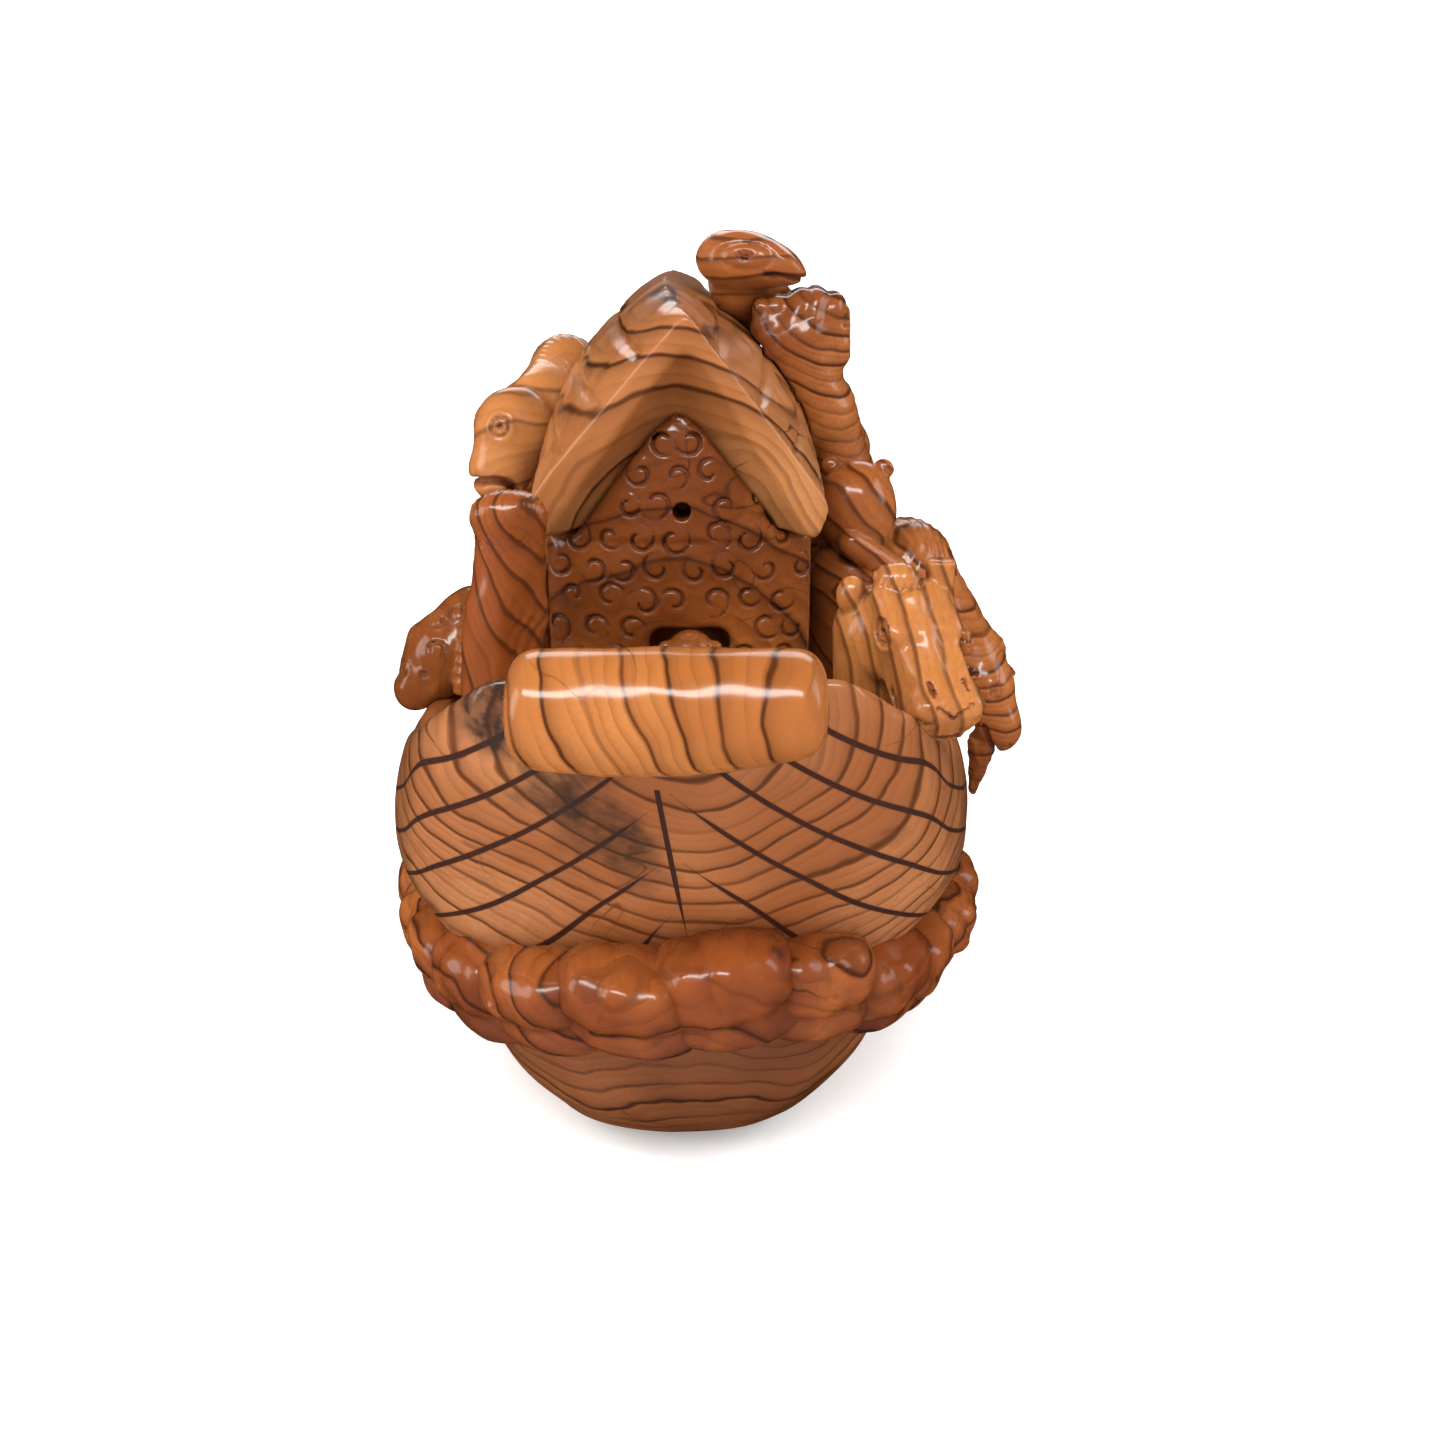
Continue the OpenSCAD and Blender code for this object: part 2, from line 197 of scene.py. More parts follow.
def carve(name, field, low, high, step, reach=1.6):
    """Meshes the zero surface of a field over a box, and stores how deep in a recess each point is."""
    axes = [np.arange(low[i], high[i] + step, step, dtype=np.float32) for i in range(3)]
    f = field((axes[0][:, None, None], axes[1][None, :, None], axes[2][None, None, :])).astype(np.float32)
    f = np.broadcast_to(f, tuple(len(a) for a in axes)).copy()
    for face in (np.s_[0], np.s_[-1], np.s_[:, 0], np.s_[:, -1], np.s_[:, :, 0], np.s_[:, :, -1]):
        f[face] = np.maximum(f[face], 0.25 * step)
    inside = f < 0
    n = np.array(f.shape) - 1
    corners = [(i, j, k) for i in (0, 1) for j in (0, 1) for k in (0, 1)]
    count = sum(inside[i:i + n[0], j:j + n[1], k:k + n[2]].astype(np.int8) for i, j, k in corners)
    cell = np.argwhere((count > 0) & (count < 8))
    value = np.stack([f[cell[:, 0] + i, cell[:, 1] + j, cell[:, 2] + k] for i, j, k in corners], axis=1)
    total = np.zeros((len(cell), 3))
    hits = np.zeros(len(cell))
    for a in range(8):
        for b in range(a + 1, 8):
            ca, cb = np.array(corners[a]), np.array(corners[b])
            if np.abs(ca - cb).sum() != 1:
                continue
            cross = (value[:, a] < 0) != (value[:, b] < 0)
            t = np.where(cross, value[:, a] / np.where(cross, value[:, a] - value[:, b], 1.0), 0.0)
            total += cross[:, None] * (ca + t[:, None] * (cb - ca))
            hits += cross
    points = np.array(low) + (cell + total / hits[:, None]) * step
    index = np.full(tuple(n), -1, np.int32)
    index[cell[:, 0], cell[:, 1], cell[:, 2]] = np.arange(len(cell))
    quads = []
    for axis in range(3):
        first = [slice(None)] * 3
        second = [slice(None)] * 3
        first[axis], second[axis] = slice(0, -1), slice(1, None)
        change = inside[tuple(first)] != inside[tuple(second)]
        edge = np.argwhere(change)
        u, v = (axis + 1) % 3, (axis + 2) % 3
        edge = edge[(edge[:, u] > 0) & (edge[:, v] > 0) & (edge[:, u] < n[u]) & (edge[:, v] < n[v])]
        outward = inside[edge[:, 0], edge[:, 1], edge[:, 2]]
        ring = []
        for du, dv in ((-1, -1), (0, -1), (0, 0), (-1, 0)):
            c = edge.copy()
            c[:, u] += du
            c[:, v] += dv
            ring.append(index[c[:, 0], c[:, 1], c[:, 2]])
        ring = np.stack(ring, axis=1)
        quads.append(np.where(outward[:, None], ring, ring[:, ::-1]))
    quads = np.concatenate(quads)

    def slope(at):
        e = 0.12 * step
        centre = field(at.T)
        g = []
        for axis in range(3):
            moved = at.copy()
            moved[:, axis] += e
            g.append((field(moved.T) - centre) / e)
        return centre, np.stack(g, axis=1)

    for _ in range(2):
        centre, g = slope(points)
        move = centre[:, None] * g / np.maximum((g * g).sum(1), 0.25)[:, None]
        points = points - np.clip(move, -0.5 * step, 0.5 * step)
    _, g = slope(points)
    normal = g / np.maximum(np.sqrt((g * g).sum(1)), 1e-6)[:, None]
    # How hidden each point is from open air; the wood shader paints shade in the hollows from it and dulls
    # the lacquer there.
    shade = np.zeros(len(points))
    for distance in (0.35 * reach, reach):
        seen = field((points + normal * distance).T) / distance
        shade += 0.5 * np.clip(1.0 - seen, 0.0, 1.0)
    mesh = bpy.data.meshes.new(name)
    mesh.from_pydata((points * MM).tolist(), [], quads.tolist())
    mesh.attributes.new("recess", "FLOAT", "POINT").data.foreach_set("value", shade.astype(np.float32))
    mesh.shade_smooth()
    mesh.update()
    piece = bpy.data.objects.new(name, mesh)
    bpy.context.collection.objects.link(piece)
    return piece


def rim_height(y):
    return RIM_Z + RIM_SWEEP * (np.abs(y) / STEM_END) ** 2.2


def keel_height(y):
    rake = np.clip((np.abs(y) - RAKE_FROM) / (STEM_END - RAKE_FROM), 0.0, 1.4)
    return KEEL_Z + (ROLL_Z - 10 - KEEL_Z) * rake ** 1.5


def half_beam(y):
    return HALF_WIDTH * np.sqrt(np.clip(1.0 - (np.abs(y) / HALF_LENGTH) ** 2.4, 0.0, 1.0))


# Planks are counted down from the rim along the sides. Round the stems the lines fan upwards
# instead, and they run in towards the stem line without touching it. Each black knot has its
# centre, its size and how black it is.
PLANK_SIDE, PLANK_TOP = 6.3, 1.9
PLANK_BOW, BOW_CROWDING, BOW_LOWEST, BOW_COUNT = 10.59, 0.393, 46.9, 6
FAN_SLOPE, FAN_BEND = 1.08, 0.0091
FAN_FROM, FAN_FULL = 52.0, 67.0
STEM_LEAN, STEM_FOOT, STEM_TOP = 0.122, 40.5, 67.0
GROOVE_HALF = 0.29
KNOTS = (((-20.0, -74.0, 78.0), 8.0, 1.0), ((-14.0, -73.2, 67.0), 6.5, 0.8),
         ((-8.5, -72.0, 61.0), 7.0, 0.75), ((-4.5, -70.5, 55.5), 5.5, 0.45))


def hull_side(p):
    """Distance outside the side of the hull, open at the top: round amidships, sharper at the stems."""
    x, y, z = p
    top, low, beam = rim_height(y), keel_height(y), half_beam(y)
    sharp = np.clip((np.abs(y) - 38.0) / 38.0, 0.0, 1.0) ** 1.3
    share = BILGE + (STEM_BILGE - BILGE) * sharp
    power = BILGE_POWER + (STEM_POWER - BILGE_POWER) * sharp
    s = (z - low) / (top - low)
    under = np.clip(1.0 - np.clip(s, -0.5, 1.0) / share, 0.0, 1.6)
    out = np.maximum(np.abs(x) / np.maximum(beam, 1.0), 1e-4)
    scale = np.minimum(beam, 0.9 * share * (top - low))
    lower = ((out ** power + under ** power) ** (1.0 / power) - 1.0) * scale
    tuck = 1.0 - RIM_TUCK * np.clip((s - share) / (1.0 - share), 0.0, 2.0) ** 2
    upper = np.abs(x) - beam * tuck
    blend = np.clip((s - share) * 10.0 + 0.5, 0.0, 1.0)
    return lower * (1.0 - blend) + upper * blend


def hull_field(p):
    x, y, z = p
    side = hull_side(p)
    f = smooth_max(side, z - rim_height(y), 2.2)
    f = smooth_max(f, np.abs(y) - STEM_END, 2.0)
    f = f + 0.14 * gouge_marks(p, 17.0, 0.4)
    well = np.abs(x) - (half_beam(y) * (1.0 - RIM_TUCK) - WALL)
    ends = np.abs(y) - np.where(z < WELL_STEP, WELL_LOW, WELL_HIGH)
    hollow = smooth_max(smooth_max(well, ends, 4.0), DECK_UNDER - z, 0.6)
    f = smooth_max(f, -hollow, 1.6)
    f = smooth_max(f, JOINT_Z - z, 0.8)
    for end in (-1, 1):
        bed = np.sqrt((y - end * ROLL_Y) ** 2 + (z - ROLL_Z) ** 2) - ROLL_R
        f = smooth_max(f, -bed, 0.5)
    return f


def socket(group, name, kind, is_output=False, default=None):
    item = group.interface.new_socket(name, in_out="OUTPUT" if is_output else "INPUT", socket_type=kind)
    if default is not None:
        item.default_value = default
    return item


class Wiring:
    """Short names for adding and joining shader nodes."""

    def __init__(self, tree):
        self.tree = tree

    def node(self, kind, links=(), **values):
        n = self.tree.nodes.new(kind)
        for key, value in values.items():
            setattr(n, key, value)
        for key, source in dict(links).items():
            if isinstance(source, bpy.types.NodeSocket):
                self.tree.links.new(source, n.inputs[key])
            else:
                n.inputs[key].default_value = source
        return n

    def math(self, operation, a, b=0.0, c=0.0, clamp=False):
        return self.node("ShaderNodeMath", {0: a, 1: b, 2: c}, operation=operation,
                         use_clamp=clamp).outputs[0]

    def ramp(self, value, low, high, to_low=0.0, to_high=1.0):
        return self.node("ShaderNodeMapRange", {"Value": value, "From Min": low, "From Max": high,
                                                "To Min": to_low, "To Max": to_high},
                         interpolation_type="SMOOTHSTEP").outputs[0]

    def noise(self, vector, scale, detail=2.0, rough=0.5, output="Fac"):
        return self.node("ShaderNodeTexNoise", {"Vector": vector, "Scale": scale, "Detail": detail,
                                                "Roughness": rough}).outputs[output]

    def vector(self, operation, a, b=(0, 0, 0)):
        return self.node("ShaderNodeVectorMath", {0: a, 1: b}, operation=operation).outputs[0]

    def mix(self, factor, a, b, blend="MIX"):
        n = self.node("ShaderNodeMix", data_type="RGBA", blend_type=blend)
        for slot_name, source in ((0, factor), (6, a), (7, b)):
            if isinstance(source, bpy.types.NodeSocket):
                self.tree.links.new(source, n.inputs[slot_name])
            else:
                n.inputs[slot_name].default_value = source
        return n.outputs[2]


# Olive wood: curved growth lines round a heart, dark wandering veins, fine fibres along the log,
# and pale and dark clouds between. The vector is in millimetres, with the log lying along Y.
# LATE_WOOD is where the dark line falls between one growth ring and the next.
LATE_WOOD = 0.9
olive = bpy.data.node_groups.new("olive_figure", "ShaderNodeTree")
OLIVE_PALE = (0.34, 0.125, 0.034, 1)
OLIVE_WARM = (0.20, 0.056, 0.013, 1)
OLIVE_DARK = (0.042, 0.011, 0.003, 1)
socket(olive, "Vector", "NodeSocketVector")
for name, default in (("Line spacing", 5.0), ("Wander", 1.0), ("Vein strength", 1.0), ("Recess", 0.0),
                      ("Stain", 1.0)):
    socket(olive, name, "NodeSocketFloat", default=default)
for name, default in (("Pale", OLIVE_PALE), ("Warm", OLIVE_WARM), ("Dark", OLIVE_DARK)):
    socket(olive, name, "NodeSocketColor", default=default)
socket(olive, "Color", "NodeSocketColor", is_output=True)
socket(olive, "Relief", "NodeSocketFloat", is_output=True)
w = Wiring(olive)
g_in = w.node("NodeGroupInput")
g_out = w.node("NodeGroupOutput")
vec = g_in.outputs["Vector"]
broad = w.noise(vec, 0.022, 1.0, output="Color")
broad = w.vector("MULTIPLY", w.vector("SUBTRACT", broad, (0.5, 0.5, 0.5)), (26.0, 26.0, 26.0))
fine = w.noise(vec, 0.09, 2.0, output="Color")
fine = w.vector("MULTIPLY", w.vector("SUBTRACT", fine, (0.5, 0.5, 0.5)), (4.0, 4.0, 4.0))
bend = w.vector("ADD", broad, fine)
scaled = w.node("ShaderNodeVectorMath", {0: bend, 3: g_in.outputs["Wander"]}, operation="SCALE").outputs[0]
warped = w.vector("ADD", vec, scaled)
parts_xyz = w.node("ShaderNodeSeparateXYZ", {0: warped})
radius = w.math("SQRT", w.math("ADD", w.math("POWER", parts_xyz.outputs[0], 2.0),
                               w.math("POWER", parts_xyz.outputs[2], 2.0)))
ring = w.math("DIVIDE", radius, g_in.outputs["Line spacing"])
fraction = w.math("FRACT", ring)
each = w.node("ShaderNodeTexWhiteNoise", {"W": w.math("FLOOR", ring)}, noise_dimensions="1D").outputs[0]
patch = w.noise(vec, 0.055, 2.0)
strong = w.ramp(w.math("ADD", each, w.math("SUBTRACT", patch, 0.5)), 0.1, 0.7, 0.3, 1.0)
from_line = w.math("ABSOLUTE", w.math("SUBTRACT", fraction, LATE_WOOD))
reach = w.math("MULTIPLY", from_line, g_in.outputs["Line spacing"])
line = w.math("MULTIPLY", w.ramp(reach, 0.08, 0.46, 1.0, 0.0), strong)
rise = w.math("POWER", w.math("DIVIDE", fraction, LATE_WOOD, clamp=True), 3.0)
fall = w.ramp(fraction, LATE_WOOD, 1.0, 1.0, 0.0)
halo = w.math("MULTIPLY", w.math("MULTIPLY", rise, fall), strong)
between = w.math("FRACT", w.math("MULTIPLY", ring, 3.0))
minor = w.math("MULTIPLY", w.math("POWER", between, 2.5), w.ramp(patch, 0.35, 0.6, 0.15, 0.6))
vein_noise = w.noise(w.vector("MULTIPLY", warped, (1.0, 0.35, 1.0)), 0.05, 2.0, 0.5)
vein = w.ramp(w.math("ABSOLUTE", w.math("SUBTRACT", vein_noise, 0.5)), 0.0, 0.006, 1.0, 0.0)
vein = w.math("MULTIPLY", vein, w.ramp(w.noise(vec, 0.04, 1.0), 0.52, 0.66))
lines = w.math("MAXIMUM", line, vein)
lines = w.math("MULTIPLY", lines, g_in.outputs["Vein strength"], clamp=True)
halo = w.math("MULTIPLY", w.math("MAXIMUM", halo, minor), g_in.outputs["Vein strength"], clamp=True)
fibre = w.noise(w.vector("MULTIPLY", vec, (3.2, 0.16, 3.2)), 0.6, 3.0, 0.6)
cloud = w.noise(w.vector("MULTIPLY", vec, (1.0, 0.4, 1.0)), 0.035, 2.0)
ground = w.mix(w.ramp(cloud, 0.36, 0.64), g_in.outputs["Warm"], g_in.outputs["Pale"])
ground = w.mix(w.ramp(fibre, 0.35, 0.75, 0.0, 0.34), ground, g_in.outputs["Warm"])
ground = w.mix(halo, ground, w.mix(0.5, g_in.outputs["Warm"], g_in.outputs["Dark"]))
ground = w.mix(w.math("MULTIPLY", lines, 0.9), ground, g_in.outputs["Dark"])
# Points deep in recesses are multiplied towards dark red-brown: painted shade in the hollows, with lacquer
# pooled in them too.
recess_shade = w.mix(1.0, ground, (0.30, 0.13, 0.085, 1), "MULTIPLY")
recess_shade_amount = w.math("MULTIPLY", w.ramp(g_in.outputs["Recess"], 0.12, 0.85), g_in.outputs["Stain"])
ground = w.mix(recess_shade_amount, ground, recess_shade)
w.tree.links.new(ground, g_out.inputs["Color"])
w.tree.links.new(w.math("SUBTRACT", fibre, lines), g_out.inputs["Relief"])


LACQUER, LACQUER_ROUGH, LACQUER_GLINT = 0.6, 0.15, 0.16
WORN_ROUGH, GRAIN_RELIEF = 0.7, 0.05


def lacquered_olive(name, heart, turn=(0, 0, 0), spacing=5.0, wander=1.0, veins=1.0, gloss=0.3,
                    pale=OLIVE_PALE, warm=OLIVE_WARM, recess_shade=0.8, extra=None):
    """Clear-lacquered olive wood whose log has its heart at one point and turn."""
    material = bpy.data.materials.new(name)
    material.use_nodes = True
    w = Wiring(material.node_tree)
    shader = material.node_tree.nodes["Principled BSDF"]
    place = w.node("ShaderNodeTexCoord").outputs["Object"]
    inv = 1.0 / MM
    mapping = w.node("ShaderNodeMapping", {"Vector": w.vector("MULTIPLY", place, (inv, inv, inv)),
                                           "Location": heart,
                                           "Rotation": tuple(math.radians(t) for t in turn)},
                     vector_type="TEXTURE")
    recess = w.node("ShaderNodeAttribute", attribute_name="recess").outputs["Fac"]
    figure = w.node("ShaderNodeGroup", node_tree=olive)
    for key, value in (("Line spacing", spacing), ("Wander", wander), ("Vein strength", veins),
                       ("Stain", recess_shade), ("Pale", pale), ("Warm", warm)):
        figure.inputs[key].default_value = value
    w.tree.links.new(mapping.outputs[0], figure.inputs["Vector"])
    w.tree.links.new(recess, figure.inputs["Recess"])
    colour = figure.outputs["Color"]
    height = w.math("MULTIPLY", figure.outputs["Relief"], GRAIN_RELIEF)
    dull = recess
    if extra:
        colour, height, dull = extra(w, place, colour, height)
        dull = w.math("MAXIMUM", dull, recess)
    w.tree.links.new(colour, shader.inputs["Base Color"])
    w.tree.links.new(w.ramp(dull, 0.1, 0.9, gloss, WORN_ROUGH), shader.inputs["Roughness"])
    w.tree.links.new(w.ramp(dull, 0.1, 0.9, LACQUER, 0.0), shader.inputs["Coat Weight"])
    shader.inputs["Coat Roughness"].default_value = LACQUER_ROUGH
    shader.inputs["Specular IOR Level"].default_value = LACQUER_GLINT
    bump = w.node("ShaderNodeBump", {"Height": height, "Strength": 0.5, "Distance": 0.001})
    w.tree.links.new(bump.outputs[0], shader.inputs["Normal"])
    return material


def fit(piece, node, material):
    """Puts a finished piece in the place of its blank."""
    piece.data.materials.clear()
    piece.data.materials.append(material)
    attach(piece, "root")
    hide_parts(node)


def plank_lines(w, place, colour, height):
    """Dark V-tool lines between planks, and the black knot beside the bow roll."""
    mm = w.vector("MULTIPLY", place, (1 / MM, 1 / MM, 1 / MM))
    x, y, z = w.node("ShaderNodeSeparateXYZ", {0: mm}).outputs
    across, along = w.math("ABSOLUTE", x), w.math("ABSOLUTE", y)
    sweep = w.math("MULTIPLY", w.math("POWER", w.math("DIVIDE", along, STEM_END), 2.2), RIM_SWEEP)
    below = w.math("SUBTRACT", w.math("ADD", sweep, RIM_Z), z)
    by_side = w.math("DIVIDE", w.math("SUBTRACT", below, PLANK_TOP), PLANK_SIDE)
    bend = w.math("MULTIPLY", w.math("MULTIPLY", across, across), -FAN_BEND)
    level = w.math("ADD", w.math("ADD", z, w.math("MULTIPLY", across, FAN_SLOPE)), bend)
    step = w.math("MULTIPLY", w.math("SUBTRACT", level, BOW_LOWEST), -4.0 * BOW_CROWDING)
    step = w.math("SQRT", w.math("MAXIMUM", w.math("ADD", step, PLANK_BOW ** 2), 1.0))
    up = w.math("DIVIDE", w.math("SUBTRACT", PLANK_BOW, step), 2.0 * BOW_CROWDING)
    by_stem = w.math("SUBTRACT", float(BOW_COUNT), up)
    share = w.ramp(along, FAN_FROM, FAN_FULL)
    count = w.math("ADD", w.math("MULTIPLY", by_stem, share),
                   w.math("MULTIPLY", by_side, w.math("SUBTRACT", 1.0, share)))
    off = w.math("ABSOLUTE", w.math("SUBTRACT", count, w.math("ROUND", count)))
    wider = w.math("SUBTRACT", w.math("MULTIPLY", step, 0.68), PLANK_SIDE)
    width = w.math("ADD", w.math("MULTIPLY", share, wider), PLANK_SIDE)
    off = w.math("MULTIPLY", off, width)
    axis = w.math("SUBTRACT", x, w.math("MULTIPLY", w.math("SUBTRACT", 55.0, z), STEM_LEAN))
    gap = w.math("ABSOLUTE", axis)
    deep = w.math("MULTIPLY", w.ramp(gap, 1.2, 9.0), w.ramp(z, 32.0, 40.0))
    deep = w.math("MULTIPLY", deep, w.math("GREATER_THAN", below, 4.2))
    deep = w.math("MULTIPLY", deep, w.math("GREATER_THAN", count, 0.5))
    half = w.math("MULTIPLY", w.ramp(deep, 0.0, 0.8, 0.1, 1.0), GROOVE_HALF)
    line = w.math("MULTIPLY", w.math("LESS_THAN", off, half), w.math("GREATER_THAN", deep, 0.001))
    taper_up = w.math("MULTIPLY", w.ramp(z, STEM_FOOT, STEM_FOOT + 14.0), w.math("LESS_THAN", z, STEM_TOP))
    stem = w.math("LESS_THAN", gap, w.math("MULTIPLY", taper_up, GROOVE_HALF * 1.15))
    stem = w.math("MULTIPLY", stem, w.math("GREATER_THAN", along, 40.0))
    cut = w.math("MAXIMUM", line, stem)
    soft = w.math("MULTIPLY", w.ramp(off, GROOVE_HALF, 1.6 * GROOVE_HALF, 0.5, 0.0), deep)
    colour = w.mix(soft, colour, (0.070, 0.022, 0.008, 1))
    colour = w.mix(cut, colour, (0.034, 0.009, 0.004, 1))
    for centre, size, black in KNOTS:
        lean = w.vector("MULTIPLY", w.vector("SUBTRACT", mm, centre), (1.0, 0.8, 0.72))
        away = w.node("ShaderNodeVectorMath", {0: lean}, operation="LENGTH").outputs["Value"]
        ragged = w.math("MULTIPLY", w.math("SUBTRACT", w.noise(mm, 0.16, 2.0, 0.5), 0.5), 9.0)
        smoke = w.ramp(w.math("ADD", away, ragged), size * 0.45, size * 1.05, black, 0.0)
        smoke = w.math("MULTIPLY", smoke, w.ramp(w.noise(mm, 0.5, 3.0, 0.6), 0.3, 0.7, 0.55, 1.0))
        colour = w.mix(smoke, colour, (0.026, 0.014, 0.010, 1))
    return colour, w.math("SUBTRACT", height, w.math("MULTIPLY", cut, 0.3)), cut


hull = carve("hull", hull_field, (-46, -78, 29), (46, 78, 84), 0.8)
fit(hull, "hull", lacquered_olive("hull_olive", (-1, 0, 76), spacing=3.3, wander=0.9, veins=0.8,
                                          pale=(0.34, 0.135, 0.052, 1), warm=(0.22, 0.068, 0.020, 1),
                                          extra=plank_lines))

# ---- Base -------------------------------------------------------------------------------------
# The lower half of the block, cut in under the waves to a smooth flat-bottomed foot.
# It is glued to the underside of the hull and left with its broad, flat figure.
FOOT_HALF_W, FOOT_HALF_L = 23.0, 47.0
FOOT_BLUNT = 2.6
WAVE_HALF_W, WAVE_HALF_L = HALF_WIDTH - 5.5, HALF_LENGTH - 15.0


def base_field(p):
    x, y, z = p
    s = np.clip(z / 24.0, 0.0, 1.0)
    grow = np.sin(s * math.pi / 2) ** 0.9
    wide = FOOT_HALF_W + (WAVE_HALF_W - 4.0 - FOOT_HALF_W) * grow
    long = FOOT_HALF_L + (WAVE_HALF_L - 4.0 - FOOT_HALF_L) * grow
    reach = (np.abs(x) / wide) ** FOOT_BLUNT + (np.abs(y) / long) ** FOOT_BLUNT
    side = (reach ** (1 / FOOT_BLUNT) - 1.0) * 0.8 * wide
    f = smooth_max(side, -z, 5.0)
    f = smooth_max(f, z - JOINT_Z, 0.5)
    return f + 0.25 * gouge_marks(p, 26.0, 1.7)


base = carve("base", base_field, (-38, -68, -1), (38, 68, 31), 0.9)
base_floor = min(v.co.z for v in base.data.vertices)
for v in base.data.vertices:
    v.co.z = max(v.co.z - base_floor, 0.0)
fit(base, "base", lacquered_olive("base_olive", (3, 0, 96), spacing=3.3, wander=1.2, veins=0.9,
                                          warm=(0.18, 0.055, 0.014, 1), pale=(0.31, 0.112, 0.032, 1)))


# ---- Waves ------------------------------------------------------------------------------------
# A ring of overlapping rounded wave crests in four runs, glued round the waist of the base.
# Each crest is a carved lobe with a lip near its lower edge, and no two are quite the same.
LOBE = 8.6
WAVE_Z, WAVE_SWEEP = 25.0, 12.0
CORNER = 56.0


def pillow(p, centre, radii):
    """Cushion with flatter faces than an egg."""
    a, b, c = (np.abs(p[i] - centre[i]) / radii[i] for i in range(3))
    return ((a ** 2.5 + b ** 2.5 + c ** 2.5) ** 0.4 - 1.0) * min(radii)


def lobe_field(p):
    """One crest, with x outwards, y along the ring and z up."""
    _, y, z = p
    crest = pillow(p, (0.4, 0.0, 0.6), (LOBE * 0.98, LOBE * 1.08, LOBE * 0.60))
    apron = pillow(p, (-1.2, 1.2, -4.4), (LOBE * 0.95, LOBE * 1.02, LOBE * 0.46))
    f = smooth_min(crest, apron, 0.35)
    crease = y + 2.4 + 0.35 * z - 0.05 * z * z
    shallow = 0.45 * np.clip(1.0 - np.abs(crease) / 2.6, 0.0, 1.0) ** 2 * (z > -0.5)
    return f + shallow + 0.24 * gouge_marks(p, 10.0, 2.2)


lobe_model = carve("lobe_model", lobe_field, (-10, -10, -9), (11, 10, 11), 0.75)
bpy.context.collection.objects.unlink(lobe_model)


def wave_tree():
    """Sets crests at equal steps of an oval path that rises towards both stems."""
    tree = bpy.data.node_groups.new("wave_run", "GeometryNodeTree")
    for name, kind, default in (("From", "NodeSocketFloat", 0.0), ("To", "NodeSocketFloat", 1.0),
                                ("Crests", "NodeSocketInt", 4), ("Half width", "NodeSocketFloat", 0.03),
                                ("Half length", "NodeSocketFloat", 0.06), ("Height", "NodeSocketFloat", 0.02),
                                ("Sweep", "NodeSocketFloat", 0.01), ("Seed", "NodeSocketInt", 1),
                                ("Crest", "NodeSocketObject", None), ("Wood", "NodeSocketMaterial", None)):
        socket(tree, name, kind, default=default)
    socket(tree, "Geometry", "NodeSocketGeometry", is_output=True)
    w = Wiring(tree)
    given = w.node("NodeGroupInput").outputs
    line = w.node("GeometryNodeMeshLine", {"Count": given["Crests"]})
    index = w.node("GeometryNodeInputIndex").outputs[0]
    share = w.math("DIVIDE", w.math("ADD", index, 0.5), given["Crests"])
    sweep = w.math("SUBTRACT", given["To"], given["From"])
    turn = w.math("ADD", given["From"], w.math("MULTIPLY", sweep, share))
    x = w.math("MULTIPLY", w.math("COSINE", turn), given["Half width"])
    along = w.math("SINE", turn)
    y = w.math("MULTIPLY", along, given["Half length"])
    lift = w.math("MULTIPLY", w.math("POWER", w.math("ABSOLUTE", along), 2.5), given["Sweep"])
    jitter = w.node("FunctionNodeRandomValue", {0: (-0.0006, -0.0006, -0.0011), 1: (0.0006, 0.0006, 0.0011),
                                                "ID": index, "Seed": given["Seed"]},
                    data_type="FLOAT_VECTOR")
    place = w.node("ShaderNodeCombineXYZ", {0: x, 1: y, 2: w.math("ADD", given["Height"], lift)}).outputs[0]
    place = w.vector("ADD", place, jitter.outputs[0])
    moved = w.node("GeometryNodeSetPosition", {"Geometry": line.outputs[0], "Position": place})
    heading = w.math("ARCTAN2", w.math("DIVIDE", along, given["Half length"]),
                     w.math("DIVIDE", w.math("COSINE", turn), given["Half width"]))
    tilt = w.node("FunctionNodeRandomValue", {0: (-0.2, -0.14, -0.16), 1: (0.2, 0.16, 0.16), "ID": index,
                                              "Seed": w.math("ADD", given["Seed"], 7.0)},
                  data_type="FLOAT_VECTOR")
    facing = w.node("ShaderNodeCombineXYZ", {0: 0.0, 1: 0.0, 2: heading}).outputs[0]
    size = w.node("FunctionNodeRandomValue", {0: (0.9, 0.94, 0.92), 1: (1.06, 1.1, 1.1), "ID": index,
                                              "Seed": w.math("ADD", given["Seed"], 3.0)},
                  data_type="FLOAT_VECTOR")
    crest = w.node("GeometryNodeObjectInfo", {"Object": given["Crest"]})
    set_out = w.node("GeometryNodeInstanceOnPoints", {"Points": moved.outputs[0],
                                                      "Instance": crest.outputs["Geometry"],
                                                      "Rotation": w.vector("ADD", facing, tilt.outputs[0]),
                                                      "Scale": size.outputs[0]})
    real = w.node("GeometryNodeRealizeInstances", {0: set_out.outputs[0]})
    wood = w.node("GeometryNodeSetMaterial", {"Geometry": real.outputs[0], "Material": given["Wood"]})
    out = w.node("NodeGroupOutput")
    tree.links.new(wood.outputs[0], out.inputs["Geometry"])
    return tree


